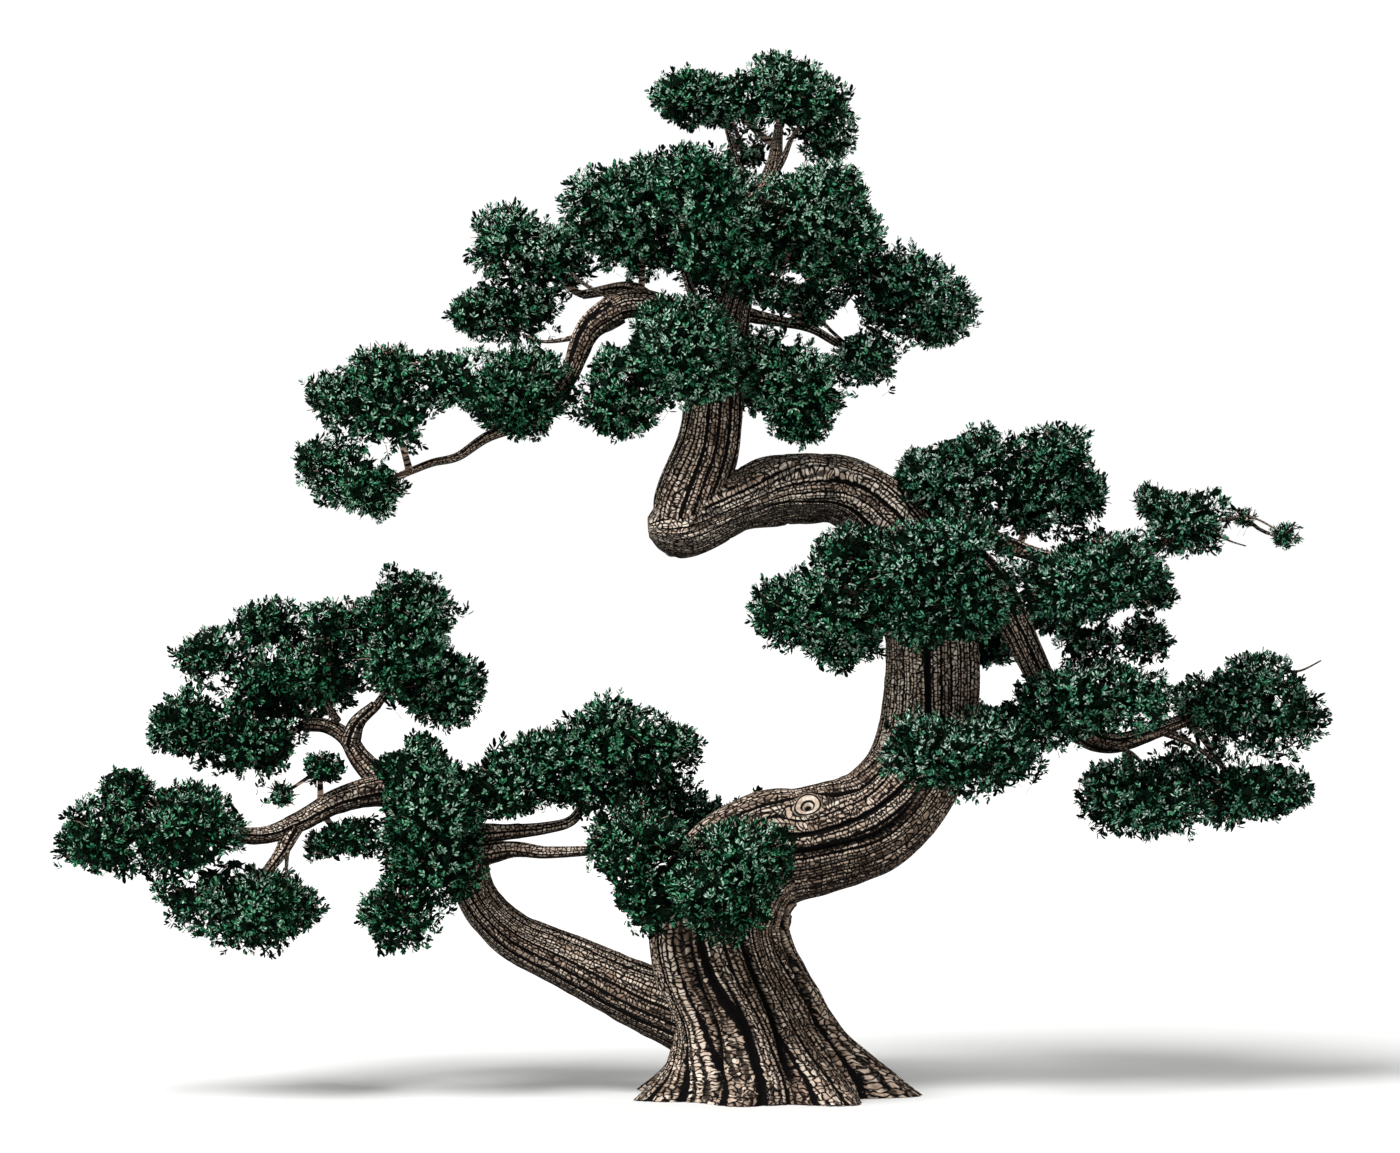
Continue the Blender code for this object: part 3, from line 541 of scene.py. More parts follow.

# %% [markdown]
# Some marks on this trunk have a place of their own: a few deep clefts, of which the longest runs up the
# front and parts the trunk like two stems grown together, an old knot like an eye where a bough was lost,
# the lumps of the arch, and the wrinkled skin of the elbow. They are added to the strands one by one.

# %% Clefts, the knot and the wrinkles
CLEFTS = [  # its angle, half its width in radians, its depth against the radius, and metres from and to
    (-1.20, 0.070, 0.17, 0.10, 3.90),
    (-1.62, 0.045, 0.10, 0.45, 1.55),
    (-2.05, 0.045, 0.09, 0.05, 1.90),
    (-0.55, 0.045, 0.08, 0.05, 2.60),
    (1.30, 0.070, 0.14, 0.10, 3.40),
    (2.40, 0.055, 0.10, 0.05, 2.20),
]
CLEFT_WANDER = 0.22  # radians
CLEFT_BENDS = 0.9  # bends for each metre
CLEFT_ENDS = (0.25, 0.8)  # metres over which a cleft opens, on each side of its start, and closes
CLEFT_DARK = (0.30, 0.75)  # how far down in a cleft it begins to be dark, and where it is black: the bark's own darker colour with painted shade
CLEFT_SEED = 21
KNOT = (0.34, 2.325, 0.135)  # x, z and half its width
KNOT_FLATNESS = 0.62  # its height against its width
KNOT_SLOPE = 0.25  # radians, as the trunk slopes there
KNOT_RINGS = 2.6  # rings from its middle to its edge
KNOT_PUSH = (0.60, 0.3)  # by how many strands it pushes the bark apart, and how near it that is reached
KNOT_EDGE = (0.8, 1.3)  # where the knot gives way to the bark, if its edge is at 1
KNOT_RIM = (0.62, 0.25, 0.5)  # where its rim stands, how wide it is, and how high in furrow depths
KNOT_HOLE = (0.15, 0.35, 0.8)  # where its hole is deepest, where it ends, and its depth in furrow depths
NO_KNOT = 9.0  # stands for "far from the knot"
WRINKLES_FROM = 6.2  # metres along the trunk, where the elbow's wrinkled skin begins
WRINKLES_EASE = (0.9, 0.3)  # metres before and after that over which it grows
WRINKLE_SCALE = (1.6, 1.6, 3.4)
WRINKLE_SEEDS = (31, 32)
WRINKLE_DETAIL = (2.2, 0.5)  # how much finer the second noise is, and how strong
WRINKLE_WIDTH = (0.02, 0.14)
WRINKLE_DEPTH = 0.45  # in furrow depths
# WRINKLE_DARK: how dark the wrinkles are, partly the bark's own colour and partly painted shade
WRINKLE_DARK = 0.75
ARCH = (4.4, 5.6)  # metres along the trunk, from where the strands wander more to where they do so fully
ARCH_WANDER = 0.75  # how much more
ARCH_LUMPS = ((1.8, 1.8, 3.4), 0.110)  # the scale of its lumps, and their height against the radius


def add_clefts(down, dark, angle, length):
    """Presses the clefts in and blackens them."""
    for at, width, depth, start, end in CLEFTS:
        steady = np.column_stack([length * CLEFT_BENDS, np.full_like(length, at * 10), length * 0])
        path = at + CLEFT_WANDER * noise(steady, CLEFT_SEED)
        off = np.abs((angle - path + np.pi) % (2 * np.pi) - np.pi) / width
        opened = eased(start - CLEFT_ENDS[0], start + CLEFT_ENDS[0], length)
        here = opened * (1 - eased(end - CLEFT_ENDS[1], end, length))
        inside = np.exp(-(off**2)) * here
        down = down + inside * depth / FURROW_DEPTH
        dark = np.maximum(dark, eased(*CLEFT_DARK, inside))
    return down, dark


def knot_place(points):
    """How far each point is from the knot's middle, where 1 is its edge, and how far above it."""
    x, z, width = KNOT
    right, up = points[:, 0] - x, points[:, 2] - z
    along = right * math.cos(KNOT_SLOPE) + up * math.sin(KNOT_SLOPE)
    above = (up * math.cos(KNOT_SLOPE) - right * math.sin(KNOT_SLOPE)) / KNOT_FLATNESS
    off = np.hypot(along, above) / width
    return np.where(points[:, 1] < TRUNK_SWING * x, off, NO_KNOT), above / width


def add_knot(down, turn, points):
    """Bends the strands round the knot and puts its hole and its rim in their place."""
    off, above = knot_place(points)
    turn = turn + KNOT_PUSH[0] * np.tanh(above / KNOT_PUSH[1]) * np.exp(-(off**2) / 2)
    near = 1 - eased(*KNOT_EDGE, off)
    rim = np.exp(-(((off - KNOT_RIM[0]) / KNOT_RIM[1]) ** 2))
    hole = 1 - eased(*KNOT_HOLE[:2], off)
    return down * (1 - near) + near * (KNOT_HOLE[2] * hole - KNOT_RIM[2] * rim), turn, off


def add_wrinkles(down, dark, angle, length):
    """Presses the wrinkles of the elbow in and darkens them."""
    around = on_limb(angle, length) * WRINKLE_SCALE
    finer, strength = WRINKLE_DETAIL
    fold = np.abs(noise(around, WRINKLE_SEEDS[0]) + strength * noise(around * finer, WRINKLE_SEEDS[1]))
    grown = eased(WRINKLES_FROM - WRINKLES_EASE[0], WRINKLES_FROM + WRINKLES_EASE[1], length)
    line = (1 - eased(*WRINKLE_WIDTH, fold)) * grown
    return down + WRINKLE_DEPTH * line, np.maximum(dark, WRINKLE_DARK * line)


print(len(CLEFTS), "clefts, and a knot", round(2 * KNOT[2], 2), "m wide")

# %% [markdown]
# ## The bark's mesh
#
# Rings of points follow the curve, close enough together for the furrows to show in the mesh. Each point
# moves in towards the middle as far as the furrows say. A few numbers are also written down for the
# material: the place on the bark as if the limb were pulled straight, the turn, the depth of the nearest
# furrow, how many blocks lie side by side on a strand, how dark a cleft is (partly painted shade), how far
# off the knot is, and how much painted light pales the bark. A pattern laid out by these follows every
# bend of the limb. The turn belongs to the corners of the faces and not to the points, because at the
# seam behind the limb the last strand meets the first.

# %% From a curve to a limb
TRUNK_DEPTH = 0.88  # the trunk is a little thinner from front to back than it is wide
FURROW_DEPTH = 0.085  # share of the radius
GIVEN_BACK = 0.25  # the share of a furrow's depth by which the whole trunk is made thicker
RIBS = 5  # the broad ribs of the solids
RIB_HEIGHT = 0.06
RIB_TWIST = 0.50  # radians for each metre
ROOTS = 7
ROOT_SPREAD = 0.13
ROOT_TURN = 0.4  # radians
FLARE_HEIGHT = 0.55
FLARE_CURVE = 1.5  # above 1, the root flare widens mostly near the ground
PAINTED_LIGHT_HEIGHTS = (2.0, 3.6)  # metres above the ground, between which painted light makes the trunk's bark paler, where foliage shades it
BOUGH_PAINTED_LIGHT = 0.2  # how much of that painted light the boughs get
BROAD_LUMPS = ((1.6, 1.6, 1.3), 0.030)  # the scale of the lumps, and their height against the radius
SMALL_LUMPS = (9, 0.006)  # the scale of the lumps, and their height in metres
LUMPY_RADIUS = 0.06  # limbs thinner than this have no small lumps
BLOCK_WIDTH = 0.062  # metres
BLOCKS_ACROSS = (1.6, 7.0)  # the fewest and the most blocks side by side on a strand


def ring_quads(count, sides):
    """The quads between rings of points, as rows of point numbers."""
    ring = np.arange(count - 1)[:, None] * sides
    step = np.arange(sides)
    after = (step + 1) % sides
    corners = [ring + step, ring + after, ring + sides + after, ring + sides + step]
    return np.stack([np.broadcast_to(c, (count - 1, sides)) for c in corners], axis=-1).reshape(-1, 4)


def limb_piece(name, points, faces, marks):
    """A smooth piece of these points and faces, with its marks for the material."""
    mesh = bpy.data.meshes.new(name)
    mesh.from_pydata(points.tolist(), [], faces)
    for key, values in marks.items():
        kind, field = ("FLOAT_VECTOR", "vector") if key == "grain" else ("FLOAT", "value")
        domain = "CORNER" if key == "turn" else "POINT"
        mesh.attributes.new(key, kind, domain).data.foreach_set(field, values.astype(np.float32).ravel())
    mesh.shade_smooth()
    piece = bpy.data.objects.new(name, mesh)
    scene.collection.objects.link(piece)
    return piece


def limb_mesh(name, curve, sides, strands, seed, wander, trunk=False, stretch=(0, None), straight=0.0):
    """A closed mesh of one limb, or of one stretch of its rings, with its bark's furrows."""
    level = LEVEL_HEIGHT if trunk else 0.0
    side_ways, back_ways = directions_along(curve, level)
    lengths = straight + run_along(curve[:, :3])
    rings = slice(*stretch)
    curve, side_ways, back_ways, lengths = curve[rings], side_ways[rings], back_ways[rings], lengths[rings]
    count = len(curve)
    angle = np.tile(np.arange(sides) * 2 * np.pi / sides + np.pi / 2, count)
    length = np.repeat(lengths, sides)
    radius = np.repeat(curve[:, 3], sides)
    height = np.repeat(curve[:, 2], sides)
    middle = np.repeat(curve[:, :3], sides, axis=0)
    side_way = np.repeat(side_ways, sides, axis=0)
    back_way = np.repeat(back_ways, sides, axis=0)

    arch = eased(*ARCH, length) if trunk else np.zeros_like(length)
    down, turn, deep = furrows(angle, length, strands, seed, wander * (1 + ARCH_WANDER * arch))
    dark, knot = np.zeros_like(down), np.full_like(down, NO_KNOT)
    around = on_limb(angle, length)
    size = 1 + BROAD_LUMPS[1] * noise(around * BROAD_LUMPS[0], seed + 7)
    size += ARCH_LUMPS[1] * arch * noise(around * ARCH_LUMPS[0], seed + 9)
    # painted light: paler bark up the trunk and on the boughs, where the foliage shades them
    young = eased(*PAINTED_LIGHT_HEIGHTS, height) if trunk else np.full_like(height, BOUGH_PAINTED_LIGHT)
    if trunk:
        down, dark = add_clefts(down, dark, angle, length)
        down, dark = add_wrinkles(down, dark, angle, length)
        out = side_way * np.cos(angle)[:, None] + back_way * np.sin(angle)[:, None]
        down, turn, knot = add_knot(down, turn, middle + out * radius[:, None])
        near_ground = np.clip(1 - height / FLARE_HEIGHT, 0, 1) ** FLARE_CURVE
        size *= 1 + RIB_HEIGHT * np.cos(RIBS * angle + RIB_TWIST * length)
        size *= 1 + ROOT_SPREAD * near_ground * np.cos(ROOTS * angle + ROOT_TURN)
        size *= 1 + GIVEN_BACK * FURROW_DEPTH
    lumps = SMALL_LUMPS[1] * noise(around * SMALL_LUMPS[0], seed + 8) * (radius > LUMPY_RADIUS)
    reach = radius * (size - FURROW_DEPTH * down) + lumps
    flat = TRUNK_DEPTH if trunk else 1.0
    wide_way = side_way * (np.cos(angle) * reach)[:, None]
    points = middle + wide_way + back_way * (np.sin(angle) * reach * flat)[:, None]
    if trunk:
        points[:, 2] = np.maximum(points[:, 2], 0.0)

    quads = ring_quads(count, sides)
    step = np.arange(sides)
    last = (count - 1) * sides
    faces = quads.tolist() + [step[::-1].tolist(), (step + last).tolist()]
    at_seam = np.tile((step == sides - 1)[:, None] & (np.arange(4) % 3 > 0), (count - 1, 1))
    side_turn = (turn[quads] + strands * at_seam).ravel()
    marks = {
        "grain": np.column_stack([np.cos(angle) * radius, np.sin(angle) * radius, length]),
        "deep": deep,
        "across": np.clip(2 * np.pi * radius / strands / BLOCK_WIDTH, *BLOCKS_ACROSS),
        "dark": dark,
        "knot": knot,
        "young": young,
        "turn": np.concatenate([side_turn, turn[step[::-1]], turn[step + last]]),
    }
    return limb_piece(name, points, faces, marks)


print("the trunk has", RIBS, "ribs and", ROOTS, "roots")

# %% [markdown]
# ## Short words for materials
#
# A material in Blender is a graph of small nodes. It could be wired by hand in the shader editor, but
# written out it can be read and changed like a recipe. This class gives each kind of node that the bark
# needs a short word, so that a line of the recipe stays one line.

# %% A graph of nodes
class Graph:
    """Short words for adding nodes to a material."""

    def __init__(self, name):
        self.paint = bpy.data.materials.new(name)
        self.paint.use_nodes = True
        self.nodes = self.paint.node_tree.nodes
        self.links = self.paint.node_tree.links
        self.shader = self.nodes["Principled BSDF"]

    def add(self, kind, settings=None, **inputs):
        node = self.nodes.new(kind)
        for key, value in (settings or {}).items():
            setattr(node, key, value)
        for key, value in inputs.items():
            self.put(value, node.inputs[key.replace("_", " ")])
        return node

    def put(self, value, socket):
        """Links another node's socket, or sets a plain value."""
        if isinstance(value, bpy.types.NodeSocket):
            self.links.new(value, socket)
        else:
            socket.default_value = value

    def attribute(self, name, output):
        return self.add("ShaderNodeAttribute", {"attribute_name": name}).outputs[output]

    def math(self, operation, first, second=0.0):
        node = self.add("ShaderNodeMath", {"operation": operation})
        self.put(first, node.inputs[0])
        self.put(second, node.inputs[1])
        return node.outputs[0]

    def noise(self, place, scale, detail=2.0):
        """Smooth noise. The scale is one number, or three for the three directions."""
        if isinstance(scale, tuple):
            place = self.add("ShaderNodeMapping", Vector=place, Scale=scale).outputs[0]
            scale = 1.0
        return self.add("ShaderNodeTexNoise", Vector=place, Scale=scale, Detail=detail).outputs[0]

    def between(self, value, low, high):
        """0 below low and 1 above high, with a soft change between them."""
        settings = {"interpolation_type": "SMOOTHSTEP"}
        return self.add("ShaderNodeMapRange", settings, Value=value, From_Min=low, From_Max=high).outputs[0]

    def mixed(self, share, first, second):
        """The first colour where share is 0 and the second where it is 1."""
        node = self.add("ShaderNodeMix", {"data_type": "RGBA"})
        self.put(share, node.inputs[0])
        for value, socket in ((first, node.inputs[6]), (second, node.inputs[7])):
            self.put((*value, 1.0) if isinstance(value, tuple) else value, socket)
        return node.outputs[2]

    def ramp(self, value, stops):
        """Colours that follow the value, each from its own stop on."""
        node = self.add("ShaderNodeValToRGB", Fac=value)
        elements = node.color_ramp.elements
        while len(elements) < len(stops):
            elements.new(0.5)
        for element, (place, colour) in zip(elements, stops):
            element.position = place
            element.color = (*colour, 1.0)
        return node.outputs[0]


print("a graph knows", [word for word in vars(Graph) if not word.startswith("_")])

# %% [markdown]
# ## What bark is made of
#
# Cedar bark is grey-brown and fibrous, a little redder where the outer layer has come off, and darker down
# in the furrows. The material starts from the straightened place. Long thin noise along the
# limb makes the fibres. The furrows and the fine lines between the small strands are drawn from the turn,
# with a little noise in it so that no line is quite straight. A Voronoi pattern inside each strand gives
# the small blocks with cracks round them. The furrows, the lines, the cracks, the clefts, the wrinkles and
# the hole of the knot are coloured almost black. That is partly the bark's own darker colour there and
# partly painted shade. The undersides of the limbs are darkened too, and that is painted shade. Painted
# light makes the upper trunk and the boughs paler, where the foliage shades them.
# The same cracks and fibres press into the surface by a bump, so that light from the side picks them out.

# %% The bark's material
BARK_TONES = [  # from the darkest to the palest
    (0.0, (0.115, 0.077, 0.055)),
    (0.35, (0.350, 0.252, 0.187)),
    (0.65, (0.600, 0.478, 0.375)),
    (1.0, (0.900, 0.790, 0.665)),
]
RED_BARK = (0.380, 0.235, 0.180)
RED_PATCHES = (0.50, 0.68)  # the noise between which redder bark begins
REDNESS = 0.40
FIBRE_TONE = 0.50  # how much the fibres, the strand, the block and the patches each count in the tone
STRAND_TONE = 0.16
BLOCK_TONE = 0.22
PATCH_TONE = 0.50
# how much paler the painted light makes the bark
PAINTED_LIGHT_STRENGTH = 0.12
TONE_RANGE = (0.40, 0.98)  # the sums that give the darkest and the palest bark
UNDERSIDE_SHADE = (-0.10, -0.80)  # how far up the bark looks where painted shade begins to darken it, and where it is darkest
UNDERSIDE_SHADE_STRENGTH = 0.80
# near black for furrows, lines and cracks (their own darker colour and painted shade), and for the painted
# shade of the undersides
FURROW_AND_SHADE_COLOUR = (0.0030, 0.0024, 0.0022)
FIBRE_SCALE = (34.0, 34.0, 5.0)
PATCH_SCALE = 3.2
LINE_WAVES = (26.0, 26.0, 20.0)  # the noise that makes lines unsteady
LINE_WAVE_WIDTH = 0.22  # in strands
FURROW_EDGE = (0.90, 0.35)  # how far across a strand its furrow starts, and how much sooner a deep one does
FURROW_SOFTNESS = 0.10
FINE_LINE = (0.48, 0.68)  # how far across a small strand a line begins, and where it is darkest
FINE_LINE_DARKNESS = 0.9
FINE_LINE_BREAKS = (9.0, 9.0, 3.0)  # the noise that interrupts the fine lines
FINE_LINE_GAPS = (0.34, 0.46)  # where noise is below this a fine line fades out
KNOT_OUTSIDE = (0.80, 0.95)  # where the knot's rings give way to the bark's lines, if its edge is at 1
RING_LINE = (0.28, 0.40)  # the same for the rings of the knot, from one ring to the next
KNOT_PUPIL = (0.26, 0.18)  # where the dark middle of the knot begins, and where it is black: painted shade in its hole
BLOCK_HEIGHT = 0.033  # metres
BLOCK_BEND = 12.0  # the scale of the noise that shifts the blocks up and down
BLOCK_WAVES = 2.6  # how far it shifts them, in blocks
BLOCK_DISORDER = 0.75  # 0 would set the blocks in straight rows
CRACK_WIDTH = (0.06, 0.21)  # how far from a block's edge the crack is darkest, and where it ends, in blocks
SMOOTH_KNOT = 0.8  # how far the cracks are filled in the knot
STRAND_STEP = 17.3  # how far apart the patterns of two strands are taken
BARK_ROUGHNESS = 0.88
BARK_SHINE = 0.08
CRACK_RELIEF = 0.6
FIBRE_RELIEF = 0.5
BUMP_STRENGTH = 0.75
BUMP_DISTANCE = 0.014  # metres


def bark_material():
    g = Graph("bark")
    place = g.attribute("grain", "Vector")
    dark = g.attribute("dark", "Fac")
    wave = g.math("MULTIPLY", g.math("SUBTRACT", g.noise(place, LINE_WAVES), 0.5), LINE_WAVE_WIDTH)
    turn = g.math("ADD", g.attribute("turn", "Fac"), wave)
    strand = g.math("FLOOR", turn)
    over = g.math("SUBTRACT", turn, strand)

    near_edge = g.math("ABSOLUTE", g.math("SUBTRACT", g.math("MULTIPLY", over, 2.0), 1.0))
    sooner = g.math("MULTIPLY", g.attribute("deep", "Fac"), FURROW_EDGE[1])
    reached = g.math("ADD", near_edge, sooner)
    furrow = g.between(reached, FURROW_EDGE[0], FURROW_EDGE[0] + FURROW_SOFTNESS)
    fine = g.math("FRACT", g.math("MULTIPLY", turn, SMALL_STRANDS))
    fine_edge = g.math("ABSOLUTE", g.math("SUBTRACT", g.math("MULTIPLY", fine, 2.0), 1.0))
    breaks = g.noise(place, FINE_LINE_BREAKS)
    fine_line = g.math("MULTIPLY", g.between(fine_edge, *FINE_LINE), g.between(breaks, *FINE_LINE_GAPS))
    fine_line = g.math("MULTIPLY", fine_line, FINE_LINE_DARKNESS)
    lines = g.math("MAXIMUM", furrow, g.math("MAXIMUM", fine_line, dark))

    knot = g.attribute("knot", "Fac")
    outside = g.between(knot, *KNOT_OUTSIDE)
    inside = g.math("SUBTRACT", 1.0, outside)
    ring = g.math("FRACT", g.math("ADD", g.math("MULTIPLY", knot, KNOT_RINGS), wave))
    ring = g.between(g.math("ABSOLUTE", g.math("SUBTRACT", ring, 0.5)), *RING_LINE)
    ring = g.math("MAXIMUM", ring, g.between(knot, *KNOT_PUPIL))
    lines = g.math("ADD", g.math("MULTIPLY", lines, outside), g.math("MULTIPLY", ring, inside))

    x = g.math("MULTIPLY", g.math("SUBTRACT", over, 0.5), g.attribute("across", "Fac"))
    x = g.math("ADD", x, g.math("MULTIPLY", strand, STRAND_STEP))
    along = g.add("ShaderNodeSeparateXYZ", Vector=place).outputs[2]
    bent = g.noise(place, BLOCK_BEND, 1.0)
    z = g.math("DIVIDE", along, BLOCK_HEIGHT)
    z = g.math("ADD", z, g.math("MULTIPLY", bent, BLOCK_WAVES))
    block_place = g.add("ShaderNodeCombineXYZ", X=x, Y=z).outputs[0]
    flat = {"voronoi_dimensions": "2D"}
    block_inputs = {"Vector": block_place, "Scale": 1.0, "Randomness": BLOCK_DISORDER}
    edges = g.add("ShaderNodeTexVoronoi", flat | {"feature": "DISTANCE_TO_EDGE"}, **block_inputs)
    crack = g.between(edges.outputs[0], *CRACK_WIDTH)
    crack = g.math("MAXIMUM", crack, g.math("MULTIPLY", inside, SMOOTH_KNOT))
    blocks = g.add("ShaderNodeTexVoronoi", flat, **block_inputs)
    block_tone = g.add("ShaderNodeSeparateColor", Color=blocks.outputs["Color"]).outputs[0]
    strand_tone = g.add("ShaderNodeTexWhiteNoise", {"noise_dimensions": "1D"}, W=strand).outputs["Value"]
    fibres = g.noise(place, FIBRE_SCALE, 4.0)
    patches = g.noise(place, PATCH_SCALE)

    value = g.math("MULTIPLY", fibres, FIBRE_TONE)
    value = g.math("ADD", value, g.math("MULTIPLY", strand_tone, STRAND_TONE))
    value = g.math("ADD", value, g.math("MULTIPLY", block_tone, BLOCK_TONE))
    value = g.math("ADD", value, g.math("MULTIPLY", patches, PATCH_TONE))
    value = g.math("ADD", value, g.math("MULTIPLY", g.attribute("young", "Fac"), PAINTED_LIGHT_STRENGTH))
    colour = g.ramp(g.between(value, *TONE_RANGE), BARK_TONES)
    redness = g.math("MULTIPLY", g.between(patches, *RED_PATCHES), REDNESS)
    colour = g.mixed(redness, colour, RED_BARK)
    colour = g.mixed(g.math("SUBTRACT", 1.0, crack), colour, FURROW_AND_SHADE_COLOUR)
    colour = g.mixed(lines, colour, FURROW_AND_SHADE_COLOUR)
    normal = g.add("ShaderNodeNewGeometry").outputs["Normal"]
    upward = g.add("ShaderNodeSeparateXYZ", Vector=normal).outputs[2]
    # painted shade: the undersides of the limbs are darkened
    under = g.math("MULTIPLY", g.between(upward, *UNDERSIDE_SHADE), UNDERSIDE_SHADE_STRENGTH)
    colour = g.mixed(under, colour, FURROW_AND_SHADE_COLOUR)
    g.put(colour, g.shader.inputs["Base Color"])
    g.shader.inputs["Roughness"].default_value = BARK_ROUGHNESS
    g.shader.inputs["Specular IOR Level"].default_value = BARK_SHINE

    relief = g.math("ADD", g.math("MULTIPLY", crack, CRACK_RELIEF), g.math("MULTIPLY", fibres, FIBRE_RELIEF))
    bump = g.add("ShaderNodeBump", Height=relief, Strength=BUMP_STRENGTH, Distance=BUMP_DISTANCE)
    g.put(bump.outputs[0], g.shader.inputs["Normal"])
    return g.paint


BARK = bark_material()
print("bark has", len(BARK.node_tree.nodes), "nodes")

# %% [markdown]
# ## Putting bark on the trunk and the boughs
#
# The trunk is made in four stretches, so that no single mesh grows too large. The lower joins lie where
# foliage covers the trunk, and there each stretch ends on the ring on which the next one begins. The
# upper trunk starts inside the elbow.

# %% The trunk
TRUNK_SIDES = 288
TRUNK_STRANDS = 24
TRUNK_WANDER = 1.6
TRUNK_SEED = 40
UPPER_SIDES = 140
UPPER_STRANDS = 15
UPPER_WANDER = 0.8
UPPER_SEED = 60
UPPER_START = 20.0  # metres added to the length on the upper trunk, so that its marks differ
CUTS = [2.62, 4.15]  # heights at which the lower trunk is parted

below = trunk_curve(TRUNK_TO_ELBOW, RING_STEP)
above = trunk_curve(TRUNK_ABOVE_ELBOW, RING_STEP)
cut_rings = [int(np.argmax(below[:, 2] > height)) for height in CUTS]
stretches = {
    "trunk_foot": (0, cut_rings[0] + 1),
    "trunk_middle": (cut_rings[0], cut_rings[1] + 1),
    "trunk_elbow": (cut_rings[1], None),
}
limbs = {}
for name, stretch in stretches.items():
    row = (below, TRUNK_SIDES, TRUNK_STRANDS, TRUNK_SEED, TRUNK_WANDER)
    limbs[name] = limb_mesh(name, *row, trunk=True, stretch=stretch)
row = (above, UPPER_SIDES, UPPER_STRANDS, UPPER_SEED, UPPER_WANDER)
limbs["trunk_top"] = limb_mesh("trunk_top", *row, straight=UPPER_START)
for name, limb in limbs.items():
    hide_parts("trunk")
    print(name, len(limb.data.polygons), "faces")

# %% [markdown]
# A bough starts inside the limb that carries it, and is a little swollen there, as real ones are. The
# swelling could be a mesh of its own that blends the two, but a wider foot on the same curve looks the
# same under rough bark. The thin branches are made in the same way with smaller faces.

# %% The boughs and the thin branches
BOUGH_FACE = 0.017  # metres, the side of a face of bark
THIN_FACE = 0.012
BOUGH_SIDES = (10, 120)  # the fewest and the most faces round a bough
STRAND_WIDTH = 0.115  # at the foot of a bough
FEWEST_STRANDS = 4
BOUGH_WANDER = 0.5
SEEDS = 1000
COLLAR = (0.22, 0.30)  # how much a bough swells at its foot, and over what length


def swollen(curve):
    """The same curve with a wider foot."""
    curve = curve.copy()
    curve[:, 3] *= 1 + COLLAR[0] * np.exp(-((run_along(curve[:, :3]) / COLLAR[1]) ** 2))
    return curve


for table, face, has_solid in ((BOUGHS, BOUGH_FACE, True), (THIN_BRANCHES, THIN_FACE, False)):
    for name, (depths, radii, places) in table.items():
        seed = zlib.crc32(name.encode()) % SEEDS
        curve = swollen(branch_curve(depths, radii, places, face))
        sides = int(np.clip(2 * math.pi * radii[0] / face, *BOUGH_SIDES))
        strands = max(FEWEST_STRANDS, round(2 * math.pi * radii[0] / STRAND_WIDTH))
        piece = f"{name}_bark" if has_solid else name
        limbs[piece] = limb_mesh(piece, curve, sides, strands, seed, BOUGH_WANDER)
        if has_solid:
            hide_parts(name)
for limb in limbs.values():
    limb.data.materials.append(BARK)
    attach(limb, "root")
print(len(limbs), "pieces of bark,", sum(len(limb.data.polygons) for limb in limbs.values()), "faces")

# %% [markdown]
# ## Where the foliage sits
#
# The foliage of an old cedar hangs in masses, each on a stem of its own. A mass is a few egg-shaped
# clumps. The table is the one that the solids were made from: the limb that carries the mass, its depth,
# and then x, z and half the width of each clump.

